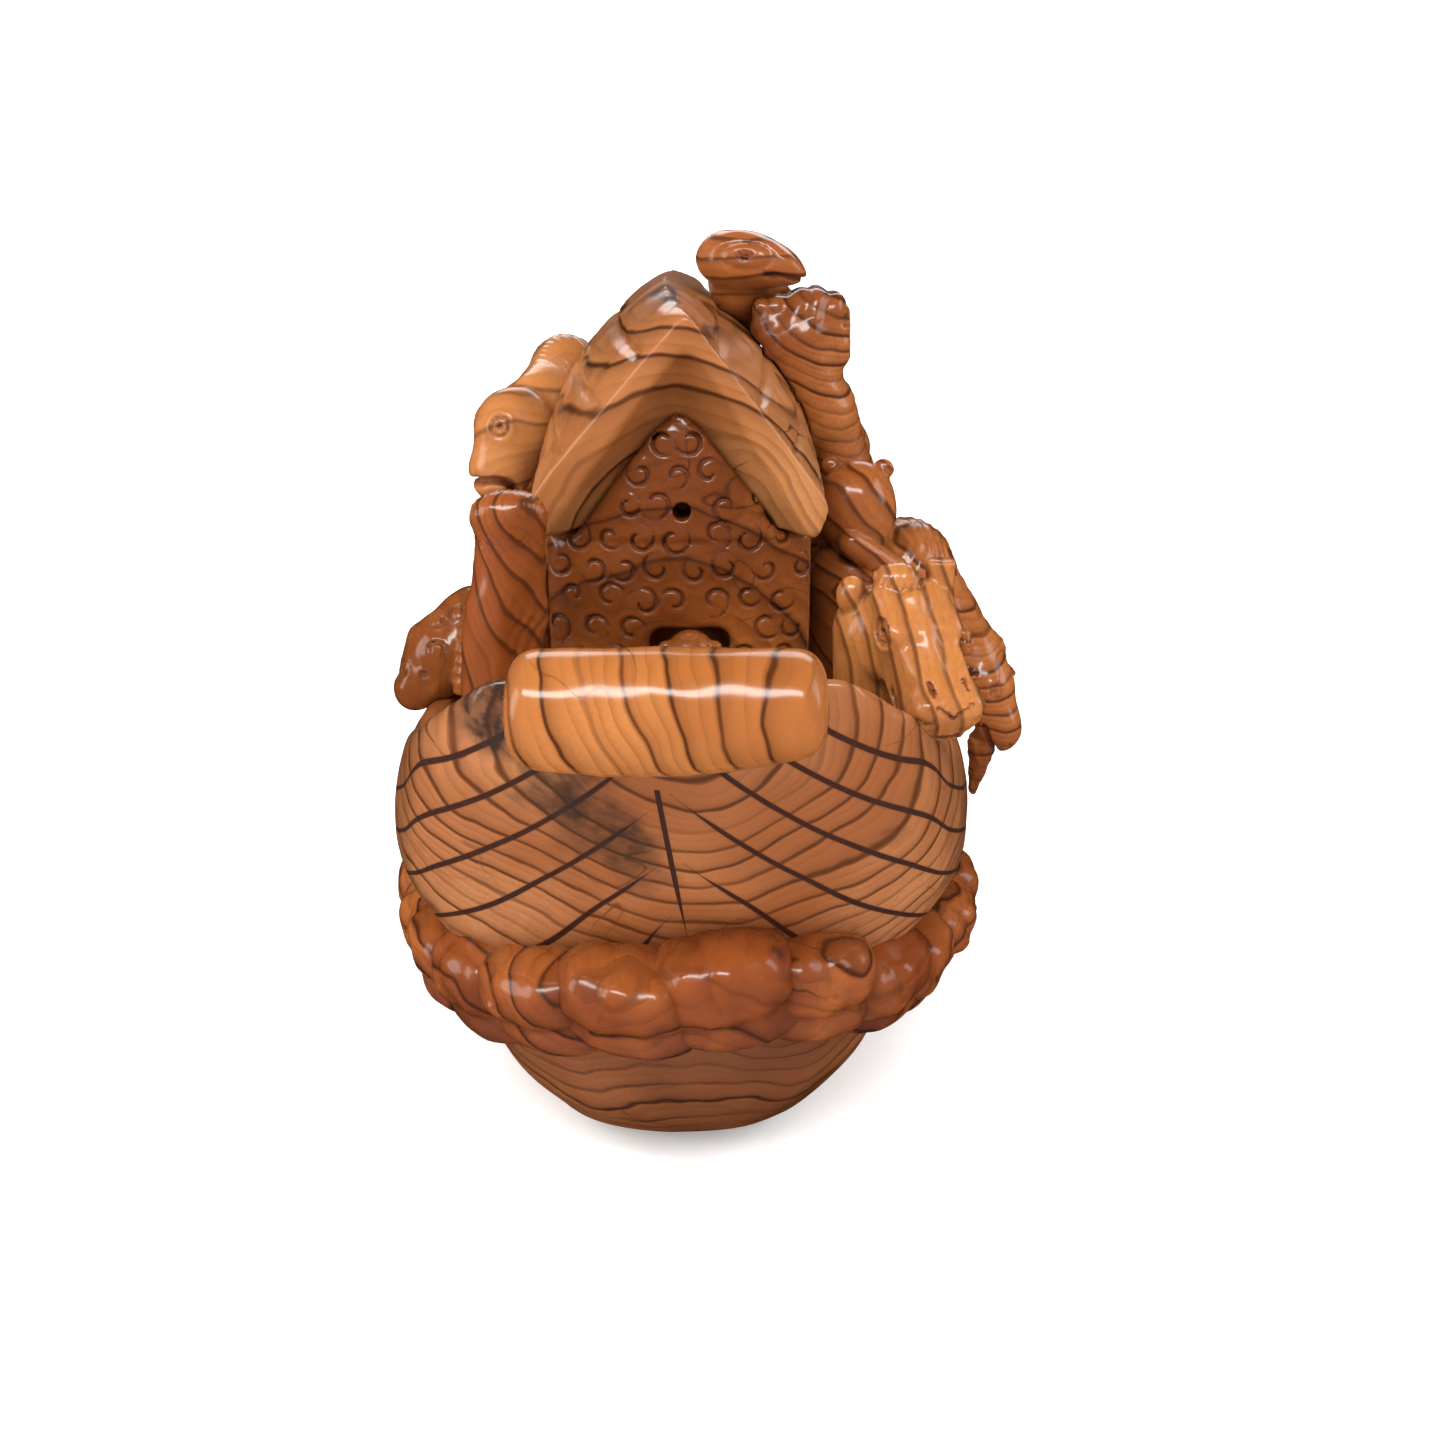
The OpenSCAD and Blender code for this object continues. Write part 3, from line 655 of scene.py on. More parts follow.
def grown(name, tree, **given):
    """Runs a geometry tree with its inputs set, and returns the result as a plain object."""
    seed_mesh = bpy.data.meshes.new(name + "_seed")
    seed = bpy.data.objects.new(name + "_seed", seed_mesh)
    bpy.context.collection.objects.link(seed)
    modifier = seed.modifiers.new("grow", "NODES")
    modifier.node_group = tree
    sockets = {item.name: item.identifier for item in tree.interface.items_tree if item.in_out == "INPUT"}
    for key, value in given.items():
        modifier[sockets[key.replace("_", " ")]] = value
    bpy.context.view_layer.update()
    result = bpy.data.meshes.new_from_object(seed.evaluated_get(bpy.context.evaluated_depsgraph_get()))
    seed.modifiers.remove(modifier)
    bpy.data.objects.remove(seed)
    piece = bpy.data.objects.new(name, result)
    bpy.context.collection.objects.link(piece)
    return piece


wave_wood = lacquered_olive("wave_olive", (6, 0, 70), turn=(8, 0, 12), spacing=6.5, wander=1.9, veins=1.0,
                            gloss=0.2, warm=(0.15, 0.033, 0.007, 1), pale=(0.29, 0.085, 0.019, 1))
wave_run = wave_tree()
for run, (start, stop, crests, seed) in {"starboard_waves": (-CORNER, CORNER, 9, 4),
                                         "stern_waves": (CORNER, 180 - CORNER, 4, 11),
                                         "port_waves": (180 - CORNER, 180 + CORNER, 9, 6),
                                         "bow_waves": (180 + CORNER, 360 - CORNER, 4, 2)}.items():
    piece = grown(run, wave_run, From=math.radians(start), To=math.radians(stop), Crests=crests,
                  Half_width=WAVE_HALF_W * MM, Half_length=WAVE_HALF_L * MM, Height=WAVE_Z * MM,
                  Sweep=WAVE_SWEEP * MM, Seed=seed, Crest=lobe_model, Wood=wave_wood)
    piece.data.shade_smooth()
    fit(piece, run, wave_wood)


# ---- Stem rolls -------------------------------------------------------------------------------
# A fat rounded roll lies across the head of each stem in a hollowed bed.
# It is cut from paler wood, so its dark growth lines stand out across it.
ROLL_HALF = 17.0


def roll_field(p, end):
    x, y, z = p
    q = (-end * x, y - end * ROLL_Y, z - ROLL_Z)
    belly = np.where(q[2] < 0.0, 1.0 - 0.00105 * (q[0] + 3.0) ** 2, 1.0 - 0.0002 * q[0] ** 2)
    around = (np.sqrt(q[1] ** 2 + (q[2] / belly) ** 2) - ROLL_R) * 0.9
    f = smooth_max(around, np.abs(q[0]) - ROLL_HALF, 3.4)
    return f + 0.14 * gouge_marks(p, 13.0, 5.1 + end)


for end, name in ((-1, "bow_roll"), (1, "stern_roll")):
    low_y, high_y = sorted((end * (ROLL_Y - 8.5), end * (ROLL_Y + 8.5)))
    roll = carve(name, lambda p, end=end: roll_field(p, end), (-19, low_y, 69), (19, high_y, 87), 0.5)
    fit(roll, name, lacquered_olive(name + "_olive", (70, 0, 98), turn=(4, 6, 3 * end),
                                             spacing=5.6, wander=1.15, veins=1.0, gloss=0.2,
                                             pale=(0.36, 0.135, 0.038, 1), warm=(0.25, 0.080, 0.019, 1)))


# ---- Deck and cabin ---------------------------------------------------------------------------
# A thin deck board lies in the well, and a plain block cabin stands on it under the roof.
# Both are coloured dark as painted shade, and darker in their corners from more painted shade and from pooled
# lacquer.
CABIN_HALF_W, CABIN_HALF_L = 15.0, 29.0
DECK_TOP, WALL_TOP = 50.0, 88.0
BOARD_WIDE, COURSE_HIGH = 5.2, 5.4


def deck_field(p):
    x, y, z = p
    side = np.abs(x) - (half_beam(y) * (1.0 - RIM_TUCK) - WALL - 0.1)
    f = smooth_max(side, np.abs(y) - 58.9, 4.0)
    f = np.maximum(f, np.abs(z - 0.5 * (DECK_UNDER + DECK_TOP)) - 0.5 * (DECK_TOP - DECK_UNDER))
    boards = np.abs(x / BOARD_WIDE - np.round(x / BOARD_WIDE)) * BOARD_WIDE
    return f + 0.35 * np.clip(1.0 - boards / 0.5, 0.0, 1.0) * (z > 48.0)


def cabin_field(p):
    _, y, z = p
    middle, half = 0.5 * (DECK_TOP + WALL_TOP), 0.5 * (WALL_TOP - DECK_TOP)
    f = slab(p, (0.0, 0.0, middle), (CABIN_HALF_W, CABIN_HALF_L, half))
    course = np.abs(z / COURSE_HIGH - np.round(z / COURSE_HIGH)) * COURSE_HIGH
    return f + 0.4 * np.clip(1.0 - course / 0.55, 0.0, 1.0) * (np.abs(y) < CABIN_HALF_L - 0.5)


shadow_wood = dict(pale=(0.20, 0.05, 0.012, 1), warm=(0.13, 0.03, 0.008, 1))
deck = carve("deck", deck_field, (-42, -60, 44), (42, 60, 51), 0.8)
fit(deck, "deck", lacquered_olive("deck_olive", (4, 0, 140), spacing=4.0, **shadow_wood))
cabin = carve("cabin", cabin_field, (-17, -31, 49), (17, 31, 89), 0.8)
fit(cabin, "cabin", lacquered_olive("cabin_olive", (40, 0, 60), spacing=4.4, **shadow_wood))


# ---- Roof -------------------------------------------------------------------------------------
# A steep solid gable with a crowned ridge. Each end is hollowed like a funnel, which leaves a thin
# flat rim, and the slopes carry lines cut from bow to stern like boards.
ROOF_HALF_L = 42.0
RIDGE_Z, EAVE_Z, EAVE_HALF = 116.5, 91.5, 20.0
CROWN, BULGE = 3.4, 1.1
ROOF_BOARD = 6.2
GABLE_RIM, HOLLOW_DEEP, HOLLOW_HALF, HOLLOW_PEAK = 1.5, 8.0, 12.6, 16.6


def ridge_line(y):
    """How far the ridge wanders to starboard, and its height: straighter and lower at the gables."""
    inside = np.clip(1.0 - (np.abs(y) / ROOF_HALF_L) ** 2.2, 0.0, 1.0)
    return 1.7 - 4.2 * inside ** 0.7, RIDGE_Z + CROWN * inside ** 0.8, inside


def gable_hollow(p):
    """Distance outside the funnel cut in each gable."""
    x, y, z = p
    depth = np.clip((ROOF_HALF_L - np.abs(y)) / HOLLOW_DEEP, -0.2, 1.0)
    front_half = EAVE_HALF - GABLE_RIM
    half = front_half + (HOLLOW_HALF - front_half) * depth
    front_peak = RIDGE_Z - WALL_TOP - 1.3 * GABLE_RIM
    peak = front_peak + (HOLLOW_PEAK - front_peak) * depth
    rise = peak / half
    shift = 1.7 * (1.0 - np.clip(depth, 0.0, 1.0))
    across = x - shift * np.clip((z - WALL_TOP) / peak, 0.0, 1.0)
    funnel = (z - WALL_TOP - peak + rise * np.sqrt(across * across + 2.5)) / np.sqrt(1.0 + rise ** 2)
    return np.maximum(funnel * 0.8, CABIN_HALF_L - np.abs(y))


def roof_field(p):
    x, y, z = p
    lean, ridge, inside = ridge_line(y)
    s = np.clip((z - EAVE_Z) / (ridge - EAVE_Z), 0.0, 1.25)
    power = 1.0 + BULGE * inside
    half = EAVE_HALF * (1.0 - s ** power)
    across = np.abs(x - lean * s)
    steep = EAVE_HALF * power * np.maximum(s, 0.02) ** (power - 1.0) / (ridge - EAVE_Z)
    slope = (across - half) / np.sqrt(1.0 + steep * steep)
    edge = np.abs(x) - (EAVE_HALF - 1.5 + 1.5 * np.clip((z - WALL_TOP) / 4.0, 0.0, 1.0))
    f = smooth_max(slope, edge, 1.0)
    f = smooth_max(f, WALL_TOP - z, 0.8)
    f = smooth_max(f, z - ridge, 1.6 + 1.6 * inside)
    boards = (ridge - z) / ROOF_BOARD
    board = np.abs(boards - np.round(boards)) * ROOF_BOARD / np.sqrt(1.0 + steep * steep)
    line = np.clip(1.0 - board / 0.7, 0.0, 1.0) * (ridge - z > 3.0) * (across > 3.0)
    f = f + 0.55 * line * np.clip((ROOF_HALF_L - 1.5 - np.abs(y)) / 1.5, 0.0, 1.0)
    f = smooth_max(f, np.abs(y) - (ROOF_HALF_L - 0.05 * (RIDGE_Z - z)), 0.5)
    f = smooth_max(f, -gable_hollow(p), 0.5)
    return f + 0.12 * gouge_marks(p, 12.0, 3.3)


roof = carve("roof", roof_field, (-21.5, -43.5, 87), (21.5, 43.5, 122.5), 0.55, reach=2.4)
roof_wood = lacquered_olive("roof_olive", (-2, 0, 82), turn=(2, 0, 3), spacing=4.2, wander=0.8, veins=1.0,
                            pale=(0.38, 0.160, 0.055, 1), warm=(0.25, 0.085, 0.025, 1))
fit(roof, "roof", roof_wood)


# ---- Carvings on the deck ---------------------------------------------------------------------
# Each animal is carved from its own small block of olive, rounded with gouges and finished with
# drilled eyes and cut hair, then glued by a peg under its feet into the deck.
def turned(p, origin, forward, up=(0.0, 0.0, 1.0)):
    """Coordinates in the frame of a head: to its left, forwards, upwards."""
    ahead = Vector(forward).normalized()
    left = ahead.cross(Vector(up)).normalized()
    over = left.cross(ahead)
    x, y, z = (p[i] - origin[i] for i in range(3))
    return tuple(x * d[0] + y * d[1] + z * d[2] for d in (left, ahead, over))


def body(p, points, soft=1.5):
    """Rounded body through points whose fourth number is the radius."""
    f = taper(p, points[0][:3], points[1][:3], points[0][3], points[1][3])
    for a, b in zip(points[1:-1], points[2:]):
        f = smooth_min(f, taper(p, a[:3], b[:3], a[3], b[3]), soft)
    return f


def drilled_eye(f, q, at, size=1.0, tall=0.85):
    """A round pupil drilled in the middle of a cut ring, under a raised lid."""
    x, y, z = (q[i] - at[i] for i in range(3))
    away = length3(x, y, z / tall)
    lid = np.abs(away - 1.75 * size)
    f = f - 0.28 * size * np.clip(1.0 - np.abs(away - 2.5 * size) / (0.9 * size), 0.0, 1.0)
    f = smooth_max(f, 0.36 * size - np.sqrt(f * f + lid * lid), 0.2)
    return smooth_max(f, 0.62 * size - away, 0.15)


def slit(f, distance, keep, wide=0.3):
    """A thin cut along a surface where distance is nought, as far as keep is below nought."""
    return smooth_max(f, wide - np.sqrt(0.35 * f * f + distance * distance) - np.maximum(keep, 0.0), 0.15)


def wool(f, p, curls, soft=0.25):
    """Spiral curls cut in a surface, each given by its centre, facing, radius, start and turn."""
    for centre, facing, size, start, hand in curls:
        q = turned(p, centre, facing, (0.02, 0.05, 1.0) if abs(facing[2]) < 0.9 else (0.0, 1.0, 0.0))
        out = np.sqrt(q[0] ** 2 + q[2] ** 2)
        near = (out < size * 1.7) & (np.abs(q[1]) < size * 1.6)
        angle = np.mod(hand * np.arctan2(q[2], q[0]) - start, 2.0 * math.pi) / (2.0 * math.pi)
        path = size * (0.30 + 0.72 * angle)
        cut = np.sqrt((out - path) ** 2 + 0.7 * f * f)
        width = 0.06 + 0.20 * np.sin(math.pi * np.clip(angle / 0.9, 0.0, 1.0))
        swell = 0.22 * np.clip(1.0 - (out / (1.25 * size)) ** 2, 0.0, 1.0)
        f = np.where(near, smooth_max(f - swell, width - cut, soft), f)
    return f


def strands(q, spacing, lean, seed):
    """Hair cut as shallow wavy furrows across the first axis of q."""
    wave = q[0] + lean * q[2] + 0.6 * np.sin(q[2] * 0.55 + seed) + 0.35 * np.sin(q[2] * 1.3 + 2.0 * seed)
    return np.abs(np.mod(wave / spacing, 1.0) - 0.5) * 2.0


def animal(node, field, low, high, step, wood, behind=False, reach=1.5):
    """Carves an animal; one at the stern is the same pattern turned half way round."""
    shape = (lambda p: field((-p[0], -p[1], p[2]))) if behind else field
    if behind:
        low, high = (-high[0], -high[1], low[2]), (-low[0], -low[1], high[2])
    fit(carve(node, shape, low, high, step, reach=reach), node, wood)


PEG_R, PEG_MIDDLE, PEG_HALF = 2.6, 48.0, 2.4
RIM_INSIDE, FAR_BELOW = 42.5, -90.0


def pegged(f, p, foot):
    """Adds the peg that holds a carving in the deck."""
    x, y, z = p
    round_peg = np.sqrt((x - foot[0]) ** 2 + (y - foot[1]) ** 2) - PEG_R
    return np.minimum(f, np.maximum(round_peg, np.abs(z - PEG_MIDDLE) - PEG_HALF))


def rooted(f, p, foot):
    """Cuts a carving off level on the deck and leaves its peg."""
    return pegged(smooth_max(f, DECK_TOP - p[2], 0.6), p, foot)


def rooted_over_rim(f, p, foot):
    """Like rooted, but lets the head hang outside the hull, lower than the deck."""
    level = np.where(np.abs(p[0]) < RIM_INSIDE, DECK_TOP - p[2], FAR_BELOW)
    return pegged(smooth_max(f, level, 0.4), p, foot)


# ---- Sheep, lamb and ewe ----------------------------------------------------------------------
# A woolly sheep fills the bow gable, with a lamb in a niche at its feet and its fleece cut in curls.
# The hole for an incense stick is drilled straight into the fleece. The ewe fills the stern gable.
rng = np.random.default_rng(7)
FLEECE_FRONT = -39.0
STICK_X, STICK_Z, STICK_R, STICK_DEPTH = 0.6, 91.0, 1.2, 7.0
FLEECE_SUNK, SHOULDER_Z = 4.4, 84.0
CURL_APART, CURL_ROWS_APART, CURL_LOWEST = 4.6, 4.2, 54.0
NICHE_X, NICHE_TOP, NICHE_CLEAR, STICK_CLEAR = 1.5, 77, 6.2, 2.9
fleece_curls = []
for row in range(13):
    for col in range(-4, 5):
        cx = col * CURL_APART + (2.3 if row % 2 else 0.0) + rng.uniform(-0.6, 0.6)
        cz = CURL_LOWEST + row * CURL_ROWS_APART + rng.uniform(-0.5, 0.5)
        reach_x = 17.0 if cz < 87 else 15.0 - (cz - 88) * 0.85
        over_lamb = cz < NICHE_TOP and abs(cx - NICHE_X) < NICHE_CLEAR
        over_stick = math.hypot(cx - STICK_X, cz - STICK_Z) < STICK_CLEAR
        if abs(cx) > reach_x or over_lamb or over_stick:
            continue
        sunk = (cx / 18.5) ** 2 + (max(cz - SHOULDER_Z, 0.0) / 24.0) ** 2
        centre, facing = (cx, FLEECE_FRONT + FLEECE_SUNK * sunk, cz), (0.45 * cx / 18.0, -1.0, 0.1)
        fleece_curls.append((centre, facing, rng.uniform(1.8, 2.4), rng.uniform(0, 6.28),
                             1 if rng.random() < 0.6 else -1))


def fleece_field(p, drilled):
    x, y, z = p
    sunk = (x / 18.5) ** 2 + (np.maximum(z - SHOULDER_Z, 0.0) / 24.0) ** 2
    front = FLEECE_FRONT + 0.2 + FLEECE_SUNK * np.clip(sunk, 0.0, 1.7)
    f = (front - y) * 0.86
    lower = np.maximum(np.abs(x) - 18.0, z - WALL_TOP + 0.4)
    upper = np.maximum(gable_hollow(p) + 0.15, WALL_TOP - 2.0 - z)
    f = smooth_max(f, smooth_min(lower, upper, 0.6), 2.2)
    f = smooth_max(f, y + CABIN_HALF_L, 0.3)
    niche = slab(p, (NICHE_X, -37.6, 63.0), (3.4, 3.2, 10.0)) - 2.0
    f = smooth_max(f, -niche, 1.2)
    f = wool(f, p, fleece_curls)
    if drilled:
        bore = np.sqrt((x - STICK_X) ** 2 + (z - STICK_Z) ** 2) - STICK_R
        f = np.maximum(f, -np.maximum(bore, y - (FLEECE_FRONT + STICK_DEPTH)))
    return rooted(f, p, (-11.0, -34.0))


def lamb_field(p):
    f = body(p, [(1.5, -38.2, 52, 3.3), (1.5, -38.4, 68, 3.5), (1.6, -38.8, 71.6, 3.4)])
    q = turned(p, (1.6, -39.4, 71.8), (0.0, -0.9, -0.35))
    f = smooth_min(f, egg(q, (0, 1.6, -0.4), (2.3, 2.8, 2.2)), 0.8)
    for side in (-1, 1):
        f = smooth_min(f, egg(q, (side * 3.0, -0.6, 0.9), (1.3, 0.9, 0.8)), 0.4)
        f = drilled_eye(f, q, (side * 1.7, 2.4, 0.9), 0.42)
    return rooted(f, p, (1.5, -38.2))


fleece_wood = lacquered_olive("fleece_olive", (-2, 0, 62), turn=(4, 0, 4), spacing=8.0, wander=1.1,
                              veins=0.9, gloss=0.22, recess_shade=0.35,
                              pale=(0.24, 0.07, 0.014, 1), warm=(0.12, 0.030, 0.006, 1))
animal("sheep", lambda p: fleece_field(p, True), (-19.5, -42, 44.5), (19.5, -27, 110), 0.31,
       fleece_wood, reach=1.1)
animal("ewe", lambda p: fleece_field(p, False), (-19.5, -42, 44.5), (19.5, -27, 112), 0.42,
       fleece_wood, behind=True, reach=1.1)
animal("lamb", lamb_field, (-4, -45, 45), (7, -33, 77), 0.32, fleece_wood)


# ---- Ox and cow -------------------------------------------------------------------------------
# A long-faced ox rests its chin over the rim beside the bow roll, and a cow does so at the stern.
# Deep brow, drilled nostrils and a slit mouth, with an upright horn, a small ear and a combed tuft.
def ox_field(p):
    q = turned(p, (29.6, -46.4, 79.0), (0.24, -0.74, -0.63))
    ahead = q[0] + 0.2
    f = slab(q, (0.0, 1.4, -0.6), (3.4, 3.2, 3.2)) - 1.8
    f = smooth_min(f, slab(q, (-0.2, 8.6, -0.6), (2.9, 6.4, 2.4)) - 1.6, 0.8)
    f = smooth_min(f, pillow(q, (-0.2, 13.4, -0.9), (5.2, 3.2, 4.2)), 0.7)
    f = smooth_min(f, taper(q, (0.2, 0.0, 3.6), (0.0, 11.0, 2.0), 1.7, 1.3), 0.7)
    for side in (-1, 1):
        f = smooth_max(f, -taper(q, (side * 6.0, 5.0, 2.8), (side * 5.4, 11.0, 2.4), 1.3, 1.6), 0.9)
        f = drilled_eye(f, q, (side * 4.9, 3.4, 2.2), 0.92)
        hole = length3((ahead - side * 3.1) / 1.1, q[1] - 15.4, (q[2] - 1.2) / 1.3)
        f = f - 0.3 * np.clip(1.0 - np.abs(hole - 1.6) / 0.8, 0.0, 1.0)
        f = smooth_max(f, 1.0 - hole, 0.25)
        f = slit(f, q[2] - 2.6 - 0.55 * side * (ahead - side * 1.3),
                 np.maximum(np.abs(ahead - side * 1.1) - 1.3, 12.0 - q[1]), 0.24)
    f = slit(f, q[2] + 2.9 - 0.06 * q[0], 9.4 - q[1], 0.75)
    neck = body(p, [(26.0, -41.0, 51, 4.8), (26.0, -41.4, 60, 4.9), (26.6, -42.8, 76, 6.2)])
    f = smooth_min(f, neck, 1.6)
    tuft = pillow(p, (28.2, -46.4, 83.0), (3.2, 2.6, 3.2))
    f = smooth_min(f, tuft, 0.4)
    upright_horn = taper(p, (34.2, -45.2, 74.0), (33.9, -44.6, 85.6), 1.7, 1.9)
    f = smooth_min(f, smooth_max(upright_horn, p[2] - 86.2, 0.5), 0.4)
    small_ear = egg(p, (22.6, -44.6, 81.4), (2.0, 1.9, 2.6))
    f = smooth_min(f, small_ear, 0.6)
    comb = strands(p, 0.95, 0.1, 0.7)
    f = f + 0.24 * (1.0 - comb) * np.clip(1.0 - np.abs(tuft) / 1.0, 0.0, 1.0)
    return rooted(f + 0.12 * gouge_marks(p, 7.0, 0.9), p, (26.0, -41.0))


for node, behind, heart in (("ox", False, (4, 0, 78)), ("cow", True, (-9, 0, 70))):
    animal(node, ox_field, (18.5, -63, 44.5), (40, -34, 91), 0.5 if behind else 0.38,
           lacquered_olive(node + "_olive", heart, turn=(10, 0, 0), spacing=3.2, wander=0.5, veins=0.6,
                           pale=(0.35, 0.130, 0.035, 1)), behind=behind)


# ---- Horse and mare ---------------------------------------------------------------------------
# A tall neck with its mane brushed over the crest, seen from the chest; the mare is its twin aft.
# The hair is cut as long furrows over the crown and down one flank.
def horse_field(p):
    x, y, z = p
    f = body(p, [(-23.6, -48.0, 51, 5.6), (-23.4, -48.0, 62, 5.3), (-21.4, -47.8, 80, 4.6),
                 (-20.6, -47.6, 90.4, 4.5)], 2.5)
    chest = egg(p, (-23.6, -48.2, 72.0), (4.0, 4.4, 12.0))
    f = smooth_min(f, chest, 1.2)
    crest = egg(p, (-20.6, -48.6, 92.8), (4.9, 3.8, 3.2))
    f = smooth_min(f, crest, 1.0)
    keel = -22.0 + 0.10 * (z - 80.0)
    f = smooth_max(f, (x - keel) * 0.62 - (y + 53.4) * 0.78, 0.7)
    f = smooth_max(f, -(x - keel) * 0.40 - (y + 53.2) * 0.92, 0.7)
    hair = strands((x + 0.35 * (x + 20.6) * (93.0 - z) / 8.0, y, z), 0.62, 0.0, 1.2)
    f = f + 0.20 * (1.0 - hair) * np.clip((z - 86.5) / 3.0, 0.0, 1.0)
    mane = strands((x - 0.25 * z, y, z), 1.5, -0.55, 0.4)
    flank = np.clip((x - keel - 0.8) / 1.5, 0.0, 1.0)
    f = f + 0.26 * (1.0 - mane) * flank * np.clip((84.0 - z) / 6.0, 0.0, 1.0)
    return rooted(f + 0.14 * gouge_marks(p, 8.0, 1.9), p, (-23.0, -48.0))


for node, behind in (("horse", False), ("mare", True)):
    animal(node, horse_field, (-31, -55, 44.5), (-14.5, -41.8, 97), 0.5 if behind else 0.38,
           lacquered_olive(node + "_olive", (-40, -48, 60), turn=(78, 0, 10), spacing=3.0, wander=1.0,
                           veins=0.85, pale=(0.30, 0.095, 0.022, 1), warm=(0.17, 0.040, 0.008, 1)),
           behind=behind)


# ---- Camel ------------------------------------------------------------------------------------
# A camel on the port side bends its long neck over the eave and hangs its smooth head by the roof.
# One block, with a drilled eye under a heavy lid and a deep curved mouth.
def camel_field(p):
    f = body(p, [(-28, 13, 51, 5.0), (-29, 13, 80, 4.8), (-25.4, 10, 97, 4.6), (-18.2, 1.4, 105.0, 4.6),
                 (-20.6, -8.0, 101.0, 5.0)], 2.5)
    q = turned(p, (-24.2, -14.4, 97.8), (-0.42, -0.25, -0.87))
    head = egg(q, (0.0, -0.4, 0.2), (5.5, 6.0, 5.8))
    head = smooth_min(head, egg(q, (0.0, 5.2, -0.4), (4.5, 5.4, 4.7)), 1.8)
    f = smooth_min(f, head, 1.2)
    for side in (-1, 1):
        f = drilled_eye(f, q, (side * 3.9, 0.6, 4.0), 0.8)
        f = smooth_max(f, 0.45 - length3(q[0] - side * 1.8, q[1] - 9.4, q[2] - 2.2), 0.2)
    mouth = np.sqrt((q[1] - 10.6) ** 2 + (q[2] + 0.6) ** 2) - 3.4
    f = slit(f, mouth, -1.0, 0.7)
    hair = strands((p[0] + p[1], p[1], p[2]), 1.7, 0.4, 2.1)
    f = f + 0.18 * (1.0 - hair) * np.clip((p[1] + 8.0) / 3.0, 0.0, 1.0)
    return rooted(f + 0.12 * gouge_marks(p, 9.0, 2.9), p, (-28, 13))


animal("camel", camel_field, (-36, -27, 44.5), (-10.5, 20, 113), 0.42,
       lacquered_olive("camel_olive", (-24, -14, 70), turn=(0, 35, 0), spacing=4.6, wander=1.0, veins=0.5,
                       pale=(0.40, 0.165, 0.052, 1), warm=(0.28, 0.095, 0.024, 1)))


# ---- Giraffe ----------------------------------------------------------------------------------
# The tallest carving: a long neck climbs behind the starboard slope and lays its head by the ridge.
# The almond eye sits in a deep ring, with a small ear pit behind it.
def giraffe_field(p):
    f = body(p, [(24, 34, 51, 4.8), (27, 32, 88, 4.5), (18.0, 19, 108.0, 4.6),
                 (8.6, 4.0, 117.4, 4.9)], 2.5)
    q = turned(p, (9.0, 0.2, 121.0), (0.97, -0.24, -0.04))
    head = egg(q, (0, -0.4, 0), (4.6, 6.8, 4.6))
    head = smooth_min(head, egg(q, (0, 6.0, -0.3), (3.3, 4.4, 3.2)), 2.2)
    head = smooth_max(head, q[2] - 4.6 + 0.06 * q[1] ** 2 * (q[1] > 0), 1.6)
    f = smooth_min(f, head, 1.0)
    ring = np.abs(length3(q[0] * 0.3, (q[1] - 1.2) / 1.55, (q[2] - 0.6) / 0.72) - 2.7)
    f = f + 0.34 * np.clip(1.0 - ring / 0.5, 0.0, 1.0)
    for side in (-1, 1):
        f = drilled_eye(f, q, (side * 4.0, 1.2, 0.7), 0.6, tall=0.7)
        f = smooth_max(f, 0.5 - length3(q[0] - side * 1.9, q[1] - 9.4, q[2] - 0.9), 0.2)
        f = smooth_max(f, 0.95 - length3(q[0] - side * 4.4, q[1] + 4.4, q[2] + 2.4), 0.4)
    f = slit(f, q[2] + 1.7 + 0.16 * np.maximum(q[1] - 6.0, 0.0), 4.0 - q[1], 0.3)
    return rooted(f + 0.10 * gouge_marks(p, 7.0, 3.7), p, (24, 34))


animal("giraffe", giraffe_field, (2, -7, 44.5), (33, 41, 127), 0.44,
       lacquered_olive("giraffe_olive", (10, 0, 100), turn=(0, 70, 0), spacing=2.9, wander=0.8, veins=0.75,
                       pale=(0.34, 0.120, 0.031, 1)))


# ---- Elephant ---------------------------------------------------------------------------------
# An elephant looks over the eave with a broad furrowed brow, its trunk hanging down behind.
# Its block is dark and closely striped, with a drilled eye at each side.
def elephant_field(p):
    x, y, z = p
    f = body(p, [(25.5, 4, 51, 4.6), (25.6, 3, 88, 4.2), (21.8, 2.2, 99, 5.0)], 2.0)
    brow = slab(p, (17.8, 2.4, 110.6), (5.2, 2.8, 3.2)) - 2.3
    f = smooth_min(f, brow, 2.0)
    face = taper(p, (17.0, 0.8, 108.5), (21.4, 0.4, 97.5), 6.4, 4.2)
    f = smooth_min(f, face, 1.8)
    finger = np.abs(np.mod((x - 0.3 * (z - 110)) / 3.1, 1.0) - 0.5) * 2.0
    f = f + 0.5 * (1.0 - finger) ** 1.5 * np.clip((z - 111.0) / 3.0, 0.0, 1.0)
    f = f - 1.3 * np.clip(1.0 - np.abs(x - 19.6) / 4.6, 0.0, 1.0) * np.clip((z - 109.0) / 4.0, 0.0, 1.0)
    for at in ((10.6, -2.6, 112.6), (24.6, -1.4, 112.4)):
        f = smooth_max(f, 0.85 - length3(x - at[0], y - at[1], z - at[2]), 0.3)
    furrow = strands((z - 0.35 * x, y, x), 2.3, 0.0, 0.3)
    f = f + 0.10 * (1.0 - furrow) * (z > 92.0) + 0.14 * gouge_marks(p, 8.0, 4.4)
    return rooted(smooth_max(f, 0.25 - roof_field(p), 0.3), p, (25.5, 4))


